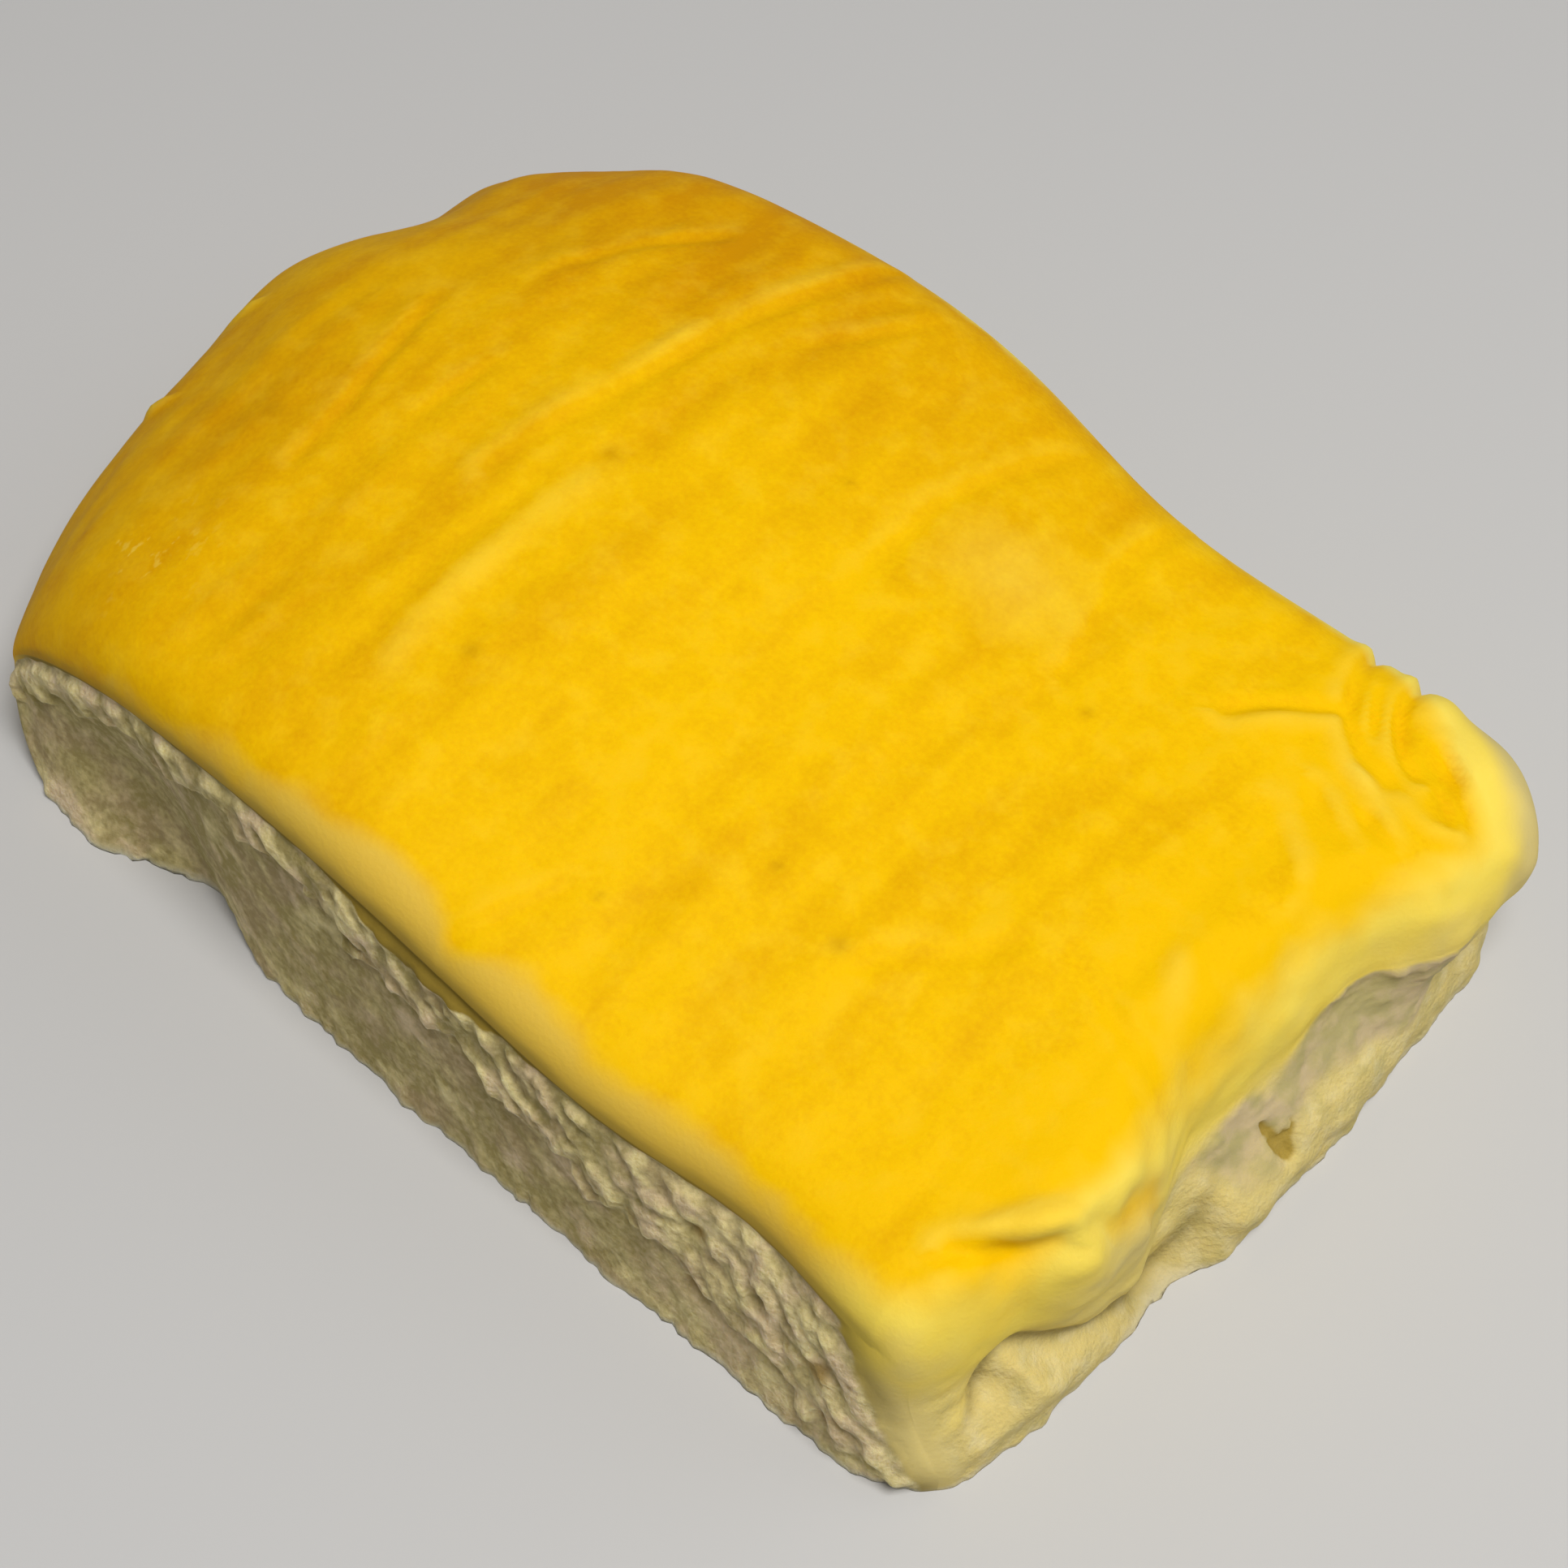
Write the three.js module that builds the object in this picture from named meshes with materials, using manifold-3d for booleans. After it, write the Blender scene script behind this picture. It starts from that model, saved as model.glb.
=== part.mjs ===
// Coco bread: a flat round of sweet coconut dough, folded over once and baked soft against its neighbours.
// One solid in millimetres, +Z up, with the origin under the middle of its box.
// -X is the rounded fold and +X the open edge where the two leaves meet.
// -Y and +Y are the sides torn from the rest of the batch.
import * as THREE from 'three';
import { ImprovedNoise } from 'three/addons/math/ImprovedNoise.js';
import { mergeVertices } from 'three/addons/utils/BufferGeometryUtils.js';
import Module from 'manifold-3d';

const { clamp, lerp, smoothstep } = THREE.MathUtils;

// Pad between its square corners, before its ends bow out
const PAD_LENGTH = 121.5;
const PAD_WIDTH = 88;

// Upper skin: height at the long edges, the dome over the fold and the crown across the width
const SKIN_HEIGHT = 24.4;
const DOME = { rise: 7.8, at: -0.26, spread: 0.6 };
const CROWN_RISE = 4.6;
const LEAN = 2;

// Roll of the skin down to each edge: its part of the grid, its reach inwards and where it ends.
// A roll of power 1 is round and one of a smaller power is flatter, with a sharper turn at its edge.
// The roll of the open end is tighter by the torn corner.
const FOLD_ROLL = { zone: 0.4, reach: 24.3, power: 1, level: 11.5, levelSkew: 1.7 };
const OPEN_ROLL = { zone: 0.14, reach: 8, power: 1, level: 16.5, cornerReach: 4.5, corner: [-0.85, -0.3] };
const TORN_ROLL = { zone: 0.16, reach: 7, power: 0.67, drop: 5.7 };
const FAR_ROLL = { zone: 0.16, reach: 7, power: 1, drop: 6.2 };

// Fold end: bowed out in plan, lumpy, and tucked under at the foot
const FOLD_BOW = 12.2;
const FOLD_TUCK = 11.4;
const FOLD_LUMPS = [
  { at: 0.1, spread: 0.2, rise: 2.1 },
  { at: 0.45, spread: 0.11, rise: -1.1 },
  { at: 0.69, spread: 0.12, rise: 1.1 },
];
const LUMP_FADE = 4;

// Open end, slanted in plan. Drops run from 0 at the lip to 1 at the foot, shares of the width from -1 to 1.
// The lip swells and draws back along the width, and the foot of the lower leaf stands out under it.
const OPEN_BOW = 1.8;
const OPEN_SLANT = 4;
const LIP_SWELLS = [
  { rise: 1.9, sides: [-0.74, -0.6, -0.42, -0.14] },
  { rise: -3.2, sides: [-0.46, -0.14, 0.34, 0.5] },
  { rise: 1.2, sides: [0.42, 0.58, 0.85, 1] },
];
const FOOT_LINE = { reach: 3.7, corner: 0.9, sides: [-0.75, -0.45], farLoss: 4.2 };

// Seam between the leaves: drop and depth of its groove at shares of the width
const SEAM_DROP = [[-0.96, 0.58], [-0.7, 0.27], [-0.62, 0.29], [-0.46, 0.54], [-0.3, 0.68], [0.05, 0.42]];
const SEAM_DEPTH = [[-0.95, 0], [-0.72, 0.9], [-0.4, 0.9], [-0.1, 0.3], [0.5, 0]];
const SEAM_SPREAD = 0.14;

// The lower leaf begins at the seam as a ledge, and beyond the sides of the ledge as a slope
const LEDGE = { span: 0.42, slopeDrop: 0.05, slopeSpan: 0.65, sides: [-1, -0.72, -0.44, 0] };
const UNDERCUT = { drop: 0.42, spread: 0.2, depth: 1.8, sides: [0.35, 0.7] };
const OPEN_TEAR = { y: 10, z: 13, spreadY: 13, spreadZ: 3, grain: 3.2, depth: 0.9 };

// Torn side: leans out to its foot, with a notch behind the foot of the fold and a dip of the rim
const TORN_BOW = 1.2;
const TORN_FLARE = { reach: 3.1, fade: [0.84, 1.02] };
const TORN_DIP = { at: 0.66, spread: 0.2, depth: 2.2 };
const TORN_NOTCH = { at: -0.64, spread: 0.12, depth: 3.4 };
const TORN_FOOT = { at: -0.9, spread: 0.14, reach: 2.2 };

// Far side: a waist near the open end
const FAR_BOW = 1.5;
const FAR_WAIST = { at: 0.26, spread: 0.3, depth: 3.3 };
const FAR_TUCK = 1.8;

// Corner radii in plan
const CORNERS = [
  { x: -1, y: -1, radius: 1.5 },
  { x: -1, y: 1, radius: 16 },
  { x: 1, y: -1, radius: 3.5 },
  { x: 1, y: 1, radius: 10 },
];

// Crumb of the torn sides: a groove under the skin, a band of flakes above a slanting step, and crags
const RIM_GROOVE = { below: 1.8, spread: 1.4, depth: 1 };
const FLAKE_STEP = { level: 20.2, fall: 0.29, band: 4.5, blur: 2.4, lift: 0.6, sink: 0.6 };
const CRAGS = { length: 8, height: 3.6, depth: 1.2 };
const HOLLOW = { x: -42, z: 10, spreadX: 9, spreadZ: 6, depth: 1.6 };
const FOOT_RAGS = { length: 4.5, height: 5, depth: 0.7 };
const TEAR_EDGE = 0.14;
const FAR_SKIN = { from: 32, whole: 40 };

// Places in the noise for each uneven face
const TORN_SEED = 1.5;
const FAR_SEED = 4.5;
const OPEN_SEED = 7.5;

// Folds of the skin in plan: a line of points, the half width, and the depth (below zero for a ridge)
const CREASES = [
  // Tongue of dough at the torn corner: its crease, its ridge and the dimple beside it
  { line: [[57.6, -33], [61.6, -28.4], [63.9, -22.5]], half: 1.4, depth: 1.3 },
  { line: [[58.7, -30.7], [61.3, -25.9], [63, -19.7]], half: 1.5, depth: -0.8 },
  { line: [[65.8, -18.6], [66.2, -13.4]], half: 1.8, depth: 0.9 },
  // Pleats gathered at the far corner
  { line: [[40.7, 25.8], [46, 31.9], [48.4, 34.4], [54.5, 30.9]], half: 1.5, depth: 0.9 },
  { line: [[57.4, 33.5], [54.6, 35.3], [51.9, 40], [51.5, 46]], half: 1.5, depth: 1.2 },
  { line: [[48.2, 36], [46.3, 42.5], [46.2, 47]], half: 1.5, depth: 0.9 },
  { line: [[57.4, 36.4], [62.6, 33.8], [64.6, 32]], half: 2.4, depth: 1.2 },
  // Wrinkles over the fold, the middle and the waist
  { line: [[-25.2, -6], [-24.1, 8], [-21.3, 25.6], [-17.7, 41]], half: 1.6, depth: 0.8 },
  { line: [[-20.1, -1], [-18.3, 17]], half: 1.5, depth: 0.5 },
  { line: [[-41.5, -12.5], [-44.4, 3]], half: 1.5, depth: 0.5 },
  { line: [[10.8, 2], [9.2, 10.1], [7.6, 29]], half: 1.5, depth: 0.5 },
  { line: [[23.9, 21.1], [25.6, 28.9], [24.9, 38]], half: 1.5, depth: 0.5 },
  { line: [[7.4, -41.2], [11.5, -31.2]], half: 1.5, depth: 0.6 },
];

// Unit box that is carried to the bread, its grid, and the cut under the bread that leaves a flat base
const BOX_SIDE = 2;
const BOX_HEIGHT = 1;
const GRID = { along: 54, across: 48, up: 14 };
const BASE_CUT = 1;

// Baked yellow skin
const SKIN_FINISH = { color: 0xf2b90f, roughness: 0.62, metalness: 0 };

const QUARTER = Math.PI / 2;
const noise = new ImprovedNoise();

// Round hill, flat-topped hill, and a smooth way through a list of stops
const bump = (t, middle, spread) => Math.exp(-(((t - middle) / spread) ** 2));
const plateau = (t, [start, top, end, foot]) => smoothstep(t, start, top) * (1 - smoothstep(t, end, foot));

function through(t, stops) {
  let value = stops[0][1];
  for (let i = 1; i < stops.length; i += 1) {
    const [[start, low], [stop, high]] = [stops[i - 1], stops[i]];
    value += (high - low) * smoothstep(t, start, stop);
  }
  return value;
}

// Share of the way across one axis, and how far the skin has rolled up from each of its two ends
function acrossPad(t, low, high, span) {
  const lowTurn = clamp((t + 1) / low.zone, 0, 1) * QUARTER;
  const highTurn = clamp((1 - t) / high.zone, 0, 1) * QUARTER;
  const flat = clamp((t + 1 - low.zone) / (2 - low.zone - high.zone), 0, 1);
  const middle = flat * (span - low.reach - high.reach);
  const fromLow = low.reach * (1 - Math.abs(Math.cos(lowTurn)) ** low.power);
  const toHigh = high.reach * Math.abs(Math.cos(highTurn)) ** high.power;
  return {
    share: (fromLow + middle + toHigh) / span,
    lowRoll: Math.sin(lowTurn) ** low.power,
    highRoll: Math.sin(highTurn) ** high.power,
  };
}

// Height of the upper skin over one point of the pad
function skinLevel(x, y, along, across) {
  const top = SKIN_HEIGHT + DOME.rise * bump(x, DOME.at, DOME.spread) + CROWN_RISE * (1 - y * y) - LEAN * y;
  const rolled = top - TORN_ROLL.drop * (1 - across.lowRoll) - FAR_ROLL.drop * (1 - across.highRoll);
  const atOpenEnd = lerp(OPEN_ROLL.level, rolled, along.highRoll);
  return lerp(FOLD_ROLL.level + FOLD_ROLL.levelSkew * y, atOpenEnd, along.lowRoll);
}

// The four sides in plan at a drop from 0 at the skin's edge to 1 at the foot
function foldEnd(y, drop) {
  const under = 1 - Math.sqrt(1 - drop * drop);
  return -PAD_LENGTH / 2 - FOLD_BOW * (1 - y * y) + FOLD_TUCK * under;
}

function foldLumps(y) {
  return FOLD_LUMPS.reduce((sum, lump) => sum + lump.rise * bump(y, lump.at, lump.spread), 0);
}

function openLine(y) {
  return PAD_LENGTH / 2 + OPEN_BOW * (1 - y * y) + OPEN_SLANT * y;
}

function lipLine(y) {
  return LIP_SWELLS.reduce((reach, swell) => reach + swell.rise * plateau(y, swell.sides), openLine(y));
}

function footLine(y) {
  const corner = FOOT_LINE.corner * (1 - smoothstep(y, ...FOOT_LINE.sides));
  return openLine(y) + FOOT_LINE.reach + corner - FOOT_LINE.farLoss * Math.max(y, 0);
}

function openEnd(y, drop) {
  const stepped = plateau(y, LEDGE.sides);
  const seamDrop = through(y, SEAM_DROP);
  const start = lerp(LEDGE.slopeDrop, seamDrop, stepped);
  const span = lerp(LEDGE.slopeSpan, LEDGE.span, stepped);
  const leaf = lerp(lipLine(y), footLine(y), smoothstep(drop, start, start + span));
  const seam = through(y, SEAM_DEPTH) * bump(drop, seamDrop, SEAM_SPREAD);
  const overhang = smoothstep(y, ...UNDERCUT.sides) * bump(drop, UNDERCUT.drop, UNDERCUT.spread);
  return leaf - seam - UNDERCUT.depth * overhang;
}

function tornSide(x, drop) {
  const notch = TORN_NOTCH.depth * bump(x, TORN_NOTCH.at, TORN_NOTCH.spread);
  const foot = TORN_FOOT.reach * bump(x, TORN_FOOT.at, TORN_FOOT.spread);
  const flare = TORN_FLARE.reach * (1 - smoothstep(x, ...TORN_FLARE.fade));
  const dip = TORN_DIP.depth * bump(x, TORN_DIP.at, TORN_DIP.spread);
  return -PAD_WIDTH / 2 - TORN_BOW * (1 - x * x) + dip * (1 - drop) + (notch - foot - flare) * drop;
}

function farSide(x, drop) {
  const waist = FAR_WAIST.depth * bump(x, FAR_WAIST.at, FAR_WAIST.spread);
  return PAD_WIDTH / 2 + FAR_BOW * (1 - x * x) - waist - FAR_TUCK * drop;
}

// Moves a plan point near a square corner onto that corner's arc
function roundCorner(point, corner, endX, endY) {
  const fromX = endX * corner.x - corner.radius;
  const fromY = endY * corner.y - corner.radius;
  const dx = (point.x * corner.x - fromX) / corner.radius;
  const dy = (point.y * corner.y - fromY) / corner.radius;
  if (dx <= 0 || dy <= 0) return;
  point.x = corner.x * (fromX + corner.radius * dx * Math.sqrt(1 - (dy * dy) / 2));
  point.y = corner.y * (fromY + corner.radius * dy * Math.sqrt(1 - (dx * dx) / 2));
}

// Carries a point of the unit box (u and v from -1 to 1, w from 0 to 1) to the smooth bread
function formPoint(u, v, w) {
  const across = acrossPad(v, TORN_ROLL, FAR_ROLL, PAD_WIDTH);
  const y = 2 * across.share - 1;
  const reach = lerp(OPEN_ROLL.cornerReach, OPEN_ROLL.reach, smoothstep(y, ...OPEN_ROLL.corner));
  const along = acrossPad(u, FOLD_ROLL, { ...OPEN_ROLL, reach }, PAD_LENGTH);
  const x = 2 * along.share - 1;
  const drop = 1 - w;
  const ends = { x: [foldEnd(y, drop), openEnd(y, drop)], y: [tornSide(x, drop), farSide(x, drop)] };
  const level = skinLevel(x, y, along, across);
  const point = new THREE.Vector3(lerp(...ends.x, along.share), lerp(...ends.y, across.share), 0);
  point.x -= foldLumps(y) * w * (1 - along.share) ** LUMP_FADE;
  for (const corner of CORNERS) {
    roundCorner(point, corner, ends.x[corner.x < 0 ? 0 : 1], ends.y[corner.y < 0 ? 0 : 1]);
  }
  point.z = w * (level + BASE_CUT) - BASE_CUT;
  return { point, level };
}

// Distance in plan from a point to a line of points
function planDistance(x, y, line) {
  let nearest = Infinity;
  for (let i = 1; i < line.length; i += 1) {
    const [ax, ay] = line[i - 1];
    const [dx, dy] = [line[i][0] - ax, line[i][1] - ay];
    const share = clamp(((x - ax) * dx + (y - ay) * dy) / (dx * dx + dy * dy), 0, 1);
    nearest = Math.min(nearest, Math.hypot(x - ax - share * dx, y - ay - share * dy));
  }
  return nearest;
}

// Outward relief of the baked skin
function skinRelief(x, y) {
  return -CREASES.reduce((sum, c) => sum + c.depth * bump(planDistance(x, y, c.line), 0, c.half), 0);
}

// Outward relief of the torn stretch of the open end
function openRelief(y, z) {
  const within = bump(y, OPEN_TEAR.y, OPEN_TEAR.spreadY) * bump(z, OPEN_TEAR.z, OPEN_TEAR.spreadZ);
  return OPEN_TEAR.depth * within * noise.noise(y / OPEN_TEAR.grain, z / OPEN_TEAR.grain, OPEN_SEED);
}

// Outward relief of a torn side, at a height below the level of its rim
function crumbRelief(x, z, rim, seed) {
  const groove = RIM_GROOVE.depth * bump(rim - z, RIM_GROOVE.below, RIM_GROOVE.spread);
  const stepLevel = Math.min(FLAKE_STEP.level - FLAKE_STEP.fall * x, rim - FLAKE_STEP.band);
  const raised = smoothstep(z, stepLevel - FLAKE_STEP.blur, stepLevel);
  const step = lerp(-FLAKE_STEP.sink, FLAKE_STEP.lift, raised);
  const crags = CRAGS.depth * noise.noise(x / CRAGS.length, z / CRAGS.height, seed);
  const atFoot = 1 - smoothstep(z, 0, FOOT_RAGS.height);
  const rags = FOOT_RAGS.depth * noise.noise(x / FOOT_RAGS.length, seed, seed) * atFoot;
  const hollow = HOLLOW.depth * bump(x, HOLLOW.x, HOLLOW.spreadX) * bump(z, HOLLOW.z, HOLLOW.spreadZ);
  return step + crags + rags - groove - hollow;
}

// Shape of the whole bread as a closed grid of triangles
function breadGeometry() {
  const box = new THREE.BoxGeometry(BOX_SIDE, BOX_SIDE, BOX_HEIGHT, GRID.along, GRID.across, GRID.up);
  box.translate(0, 0, BOX_HEIGHT / 2);
  box.deleteAttribute('normal');
  box.deleteAttribute('uv');
  const geometry = mergeVertices(box);
  const place = geometry.attributes.position;
  const cells = [];
  for (let i = 0; i < place.count; i += 1) {
    const cell = { u: place.getX(i), v: place.getY(i), w: place.getZ(i) };
    const { point, level } = formPoint(cell.u, cell.v, cell.w);
    cells.push({ ...cell, rim: level });
    place.setXYZ(i, point.x, point.y, point.z);
  }
  standOnOrigin(geometry);
  geometry.computeVertexNormals();
  const facing = geometry.attributes.normal.clone();
  cells.forEach((cell, i) => {
    const out = new THREE.Vector3().fromBufferAttribute(facing, i);
    const at = new THREE.Vector3().fromBufferAttribute(place, i);
    at.addScaledVector(out, relief(cell, at));
    place.setXYZ(i, at.x, at.y, at.z);
  });
  geometry.deleteAttribute('normal');
  return geometry;
}

// Relief of one grid point by the face of the box that it lies on
function relief(cell, at) {
  if (cell.w === 1) return skinRelief(at.x, at.y);
  if (cell.w === 0) return 0;
  if (cell.u === 1) return openRelief(at.y, at.z);
  const torn = smoothstep(1 - Math.abs(cell.u), 0, TEAR_EDGE);
  if (cell.v === -1) return torn * crumbRelief(at.x, at.z, cell.rim, TORN_SEED);
  const farTorn = torn * (1 - smoothstep(at.x, FAR_SKIN.from, FAR_SKIN.whole));
  return cell.v === 1 ? farTorn * crumbRelief(at.x, at.z, cell.rim, FAR_SEED) : 0;
}

// Centres a shape on the origin in plan and leaves its height alone
function standOnOrigin(geometry) {
  geometry.computeBoundingBox();
  const middle = geometry.boundingBox.getCenter(new THREE.Vector3());
  geometry.translate(-middle.x, -middle.y, 0);
}

const wasm = await Module();
wasm.setup();

function solidFrom(geometry) {
  const vertProperties = new Float32Array(geometry.attributes.position.array);
  const triVerts = new Uint32Array(geometry.index.array);
  return new wasm.Manifold(new wasm.Mesh({ numProp: 3, vertProperties, triVerts }));
}

function geometryFrom(solid) {
  const mesh = solid.getMesh();
  const geometry = new THREE.BufferGeometry();
  geometry.setAttribute('position', new THREE.BufferAttribute(new Float32Array(mesh.vertProperties), 3));
  geometry.setIndex(new THREE.BufferAttribute(new Uint32Array(mesh.triVerts), 1));
  return geometry;
}

// Slab under the bread that cuts its underside flat at height zero
function underSlab() {
  const side = 2 * PAD_LENGTH;
  const slab = new THREE.BoxGeometry(side, side, PAD_WIDTH).translate(0, 0, -PAD_WIDTH / 2);
  slab.deleteAttribute('normal');
  slab.deleteAttribute('uv');
  return mergeVertices(slab);
}

function breadMesh() {
  const flatBased = geometryFrom(solidFrom(breadGeometry()).subtract(solidFrom(underSlab())));
  standOnOrigin(flatBased);
  flatBased.computeVertexNormals();
  const mesh = new THREE.Mesh(flatBased, new THREE.MeshStandardMaterial(SKIN_FINISH));
  mesh.name = 'bread';
  return mesh;
}

const cocoBread = new THREE.Group();
cocoBread.add(breadMesh());

export default cocoBread;
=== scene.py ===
# %% [markdown]
# # Coco bread
# A coco bread is a flat round of sweet coconut dough that is folded over once and baked soft, so close to
# its neighbours that they have to be torn apart. The top is a smooth yellow skin, one end is the rounded
# fold, the other is the open edge where the two leaves meet, and the long sides show the torn crumb.
# The packed frame comes first: it gives the solid that this mesh has to match, in metres.

# %% Open the frame
import math

import bmesh
import bpy
import numpy as np
from mathutils import Matrix, Vector


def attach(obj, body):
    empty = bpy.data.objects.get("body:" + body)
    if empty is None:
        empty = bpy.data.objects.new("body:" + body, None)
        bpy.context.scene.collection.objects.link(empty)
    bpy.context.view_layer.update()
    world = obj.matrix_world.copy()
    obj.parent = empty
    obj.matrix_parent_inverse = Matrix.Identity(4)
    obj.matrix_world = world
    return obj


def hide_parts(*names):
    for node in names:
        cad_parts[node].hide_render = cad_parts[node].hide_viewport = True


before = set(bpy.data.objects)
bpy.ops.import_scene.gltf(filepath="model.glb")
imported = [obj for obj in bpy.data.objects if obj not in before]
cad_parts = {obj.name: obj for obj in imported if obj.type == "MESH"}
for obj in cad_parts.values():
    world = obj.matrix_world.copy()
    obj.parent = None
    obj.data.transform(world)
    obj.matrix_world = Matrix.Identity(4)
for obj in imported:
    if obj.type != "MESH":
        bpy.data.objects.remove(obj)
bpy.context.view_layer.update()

MM = 0.001

# %% [markdown]
# ## The driving sizes
# Bread has no straight edge to measure, so its form is a handful of named sizes in millimetres. The pad
# is the folded dough between its square corners. Each roll says how the skin curves down to one edge:
# the part of the mesh it takes, how far it reaches in, and the level or drop where it ends. They are the
# sizes of the packed solid, so the finer mesh below lies on it without any fitting. Only the seam between
# the two leaves is drawn finer here: a line on the open end, by place across the bread and height.

# %% Sizes of the smooth bread
PAD_LENGTH = 121.5
PAD_WIDTH = 88.0
SKIN_HEIGHT = 24.4
DOME = dict(rise=7.8, at=-0.26, spread=0.6)
CROWN_RISE = 4.6
LEAN = 2.0
FOLD_ROLL = dict(zone=0.4, reach=24.3, power=1, level=11.5, skew=1.7)
OPEN_ROLL = dict(zone=0.2, reach=8.0, power=1, level=16.5, corner_reach=4.5, corner=(-0.85, -0.3))
TORN_ROLL = dict(zone=0.22, reach=7.0, power=0.67, drop=5.7)
FAR_ROLL = dict(zone=0.22, reach=7.0, power=1, drop=6.2)
FOLD_BOW = 12.2
FOLD_TUCK = 11.4
FOLD_LUMPS = [
    dict(at=0.1, spread=0.2, rise=2.1),
    dict(at=0.45, spread=0.11, rise=-1.1),
    dict(at=0.69, spread=0.12, rise=1.1),
]
LUMP_FADE = 4
OPEN_BOW = 1.8
OPEN_SLANT = 4.0
LIP_SWELLS = [
    dict(rise=1.9, sides=(-0.74, -0.6, -0.42, -0.14)),
    dict(rise=-3.2, sides=(-0.46, -0.14, 0.34, 0.5)),
    dict(rise=1.2, sides=(0.42, 0.58, 0.85, 1.0)),
]
FOOT_LINE = dict(reach=3.7, corner=0.9, sides=(-0.75, -0.45), far_loss=4.2)
SEAM_LINE = [
    (-48, 6), (-44, 6), (-41, 6.2), (-38.5, 6.6), (-36.4, 7.3), (-35.2, 8.5), (-34.4, 10),
    (-33.5, 11.2), (-32.3, 11.4), (-30.6, 10.2), (-28.6, 8.6), (-26.5, 7.2), (-23.2, 4.8),
    (-19.5, 2.7), (-15.5, 1.5), (-12.6, 1.2), (-10.8, 2.2), (-9, 4.2), (-7.6, 7.6), (-5, 10.5), (4, 12),
]
SEAM_DEPTH = [(-1, 0), (-0.9, 0.4), (-0.8, 1.1), (-0.35, 1.3), (-0.14, 0.5), (0.1, 0)]
SEAM_WIDTH = dict(above=1.7, below=0.8)
LEAF = dict(ledge=3.5, span=0.8, start=0.6, corner_start=0.15, corner=(-0.88, -0.72))
LEAF_SLOPE = dict(start=0.05, stop=0.7, sides=(-0.34, -0.08))
UNDERCUT = dict(drop=0.42, spread=0.2, depth=1.8, sides=(0.35, 0.7))
TORN_BOW = 1.2
TORN_FLARE = dict(reach=3.1, fade=(0.84, 1.02))
TORN_DIP = dict(at=0.66, spread=0.2, depth=2.2)
TORN_NOTCH = dict(at=-0.64, spread=0.12, depth=3.4)
TORN_FOOT = dict(at=-0.9, spread=0.14, reach=2.2)
FAR_BOW = 1.5
FAR_WAIST = dict(at=0.26, spread=0.3, depth=3.3)
FAR_TUCK = 1.8
CORNERS = [(-1, -1, 1.5), (-1, 1, 16.0), (1, -1, 3.5), (1, 1, 10.0)]
BASE_CUT = 1.0
print("pad", PAD_LENGTH, "by", PAD_WIDTH, "mm, skin at", SKIN_HEIGHT, "mm before the dome and the crown")

# %% [markdown]
# ## A block to sculpt
# A sculptor would start from a block with enough mesh to push around. Here a cube loses its underside
# and is cut along X, along Y and then along Z, so that each cut makes a clean grid of quads. The
# underside comes back at the end as one flat face, which leaves more faces for the sides that show.

# %% Cut the block
BLOCK_CUTS = (250, 158, 72)


def cut_block(cuts):
    block = bmesh.new()
    bmesh.ops.create_cube(block, size=2)
    underside = [face for face in block.faces if face.normal.z < -0.5]
    bmesh.ops.delete(block, geom=underside, context="FACES_ONLY")
    for axis, count in enumerate(cuts):
        lengthwise = [e for e in block.edges if abs((e.verts[1].co - e.verts[0].co)[axis]) > 0.001]
        bmesh.ops.subdivide_edges(block, edges=lengthwise, cuts=count - 1, use_grid_fill=True)
    mesh = bpy.data.meshes.new("bread_skin")
    block.to_mesh(mesh)
    block.free()
    return mesh


bread_mesh = cut_block(BLOCK_CUTS)
print("block:", len(bread_mesh.vertices), "points,", len(bread_mesh.polygons), "quads")

# %% [markdown]
# ## Small helpers for curves
# A few little functions describe nearly every soft shape: ease goes from 0 to 1 without a kink, bump is
# a round hill, plateau a flat-topped one, mix goes from one value to another, and through passes
# smoothly along a short list of stops. They take whole arrays, so that one line moves all the points of
# the mesh at once.

# %% Curves for soft shapes
def ease(value, start, stop):
    share = np.clip((value - start) / (stop - start), 0, 1)
    return share * share * (3 - 2 * share)


def bump(value, middle, spread):
    return np.exp(-(((value - middle) / spread) ** 2))


def mix(low, high, share):
    return low + (high - low) * share


def plateau(value, rise_from, rise_to, fall_from, fall_to):
    return ease(value, rise_from, rise_to) * (1 - ease(value, fall_from, fall_to))


def through(value, stops):
    total = stops[0][1]
    for (start, low), (stop, high) in zip(stops, stops[1:]):
        total = total + (high - low) * ease(value, start, stop)
    return total


def read_points(mesh):
    flat = np.empty(3 * len(mesh.vertices))
    mesh.vertices.foreach_get("co", flat)
    return flat.reshape(-1, 3)


def write_points(mesh, points):
    mesh.vertices.foreach_set("co", points.ravel())
    mesh.update()


block = read_points(bread_mesh)
u, v = block[:, 0], block[:, 1]
w = (block[:, 2] + 1) / 2
print("ease half way:", float(ease(0.5, 0, 1)), "bump at its middle:", float(bump(0, 0, 1)))

# %% [markdown]
# ## From block to bread
# Each point of the block has a share along, across and up. The shares along and across turn quarter
# circles near the edges, which gives the skin its soft rolls. The ends and sides are then drawn in plan
# at each height, so the fold can tuck under, the lower leaf can stand out and the torn side can lean. The
# seam is a drawn line: cutting its corners twice makes it a smooth curve, and each point gets its
# distance from the line, with a sign for its side.

# %% Lines and the side of a line
def soft_line(points, rounds=2):
    line = np.array(points, dtype=float)
    for _ in range(rounds):
        near = 0.75 * line[:-1] + 0.25 * line[1:]
        far = 0.25 * line[:-1] + 0.75 * line[1:]
        cut = np.stack([near, far], axis=1).reshape(-1, 2)
        line = np.vstack([line[:1], cut, line[-1:]])
    return line


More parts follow.
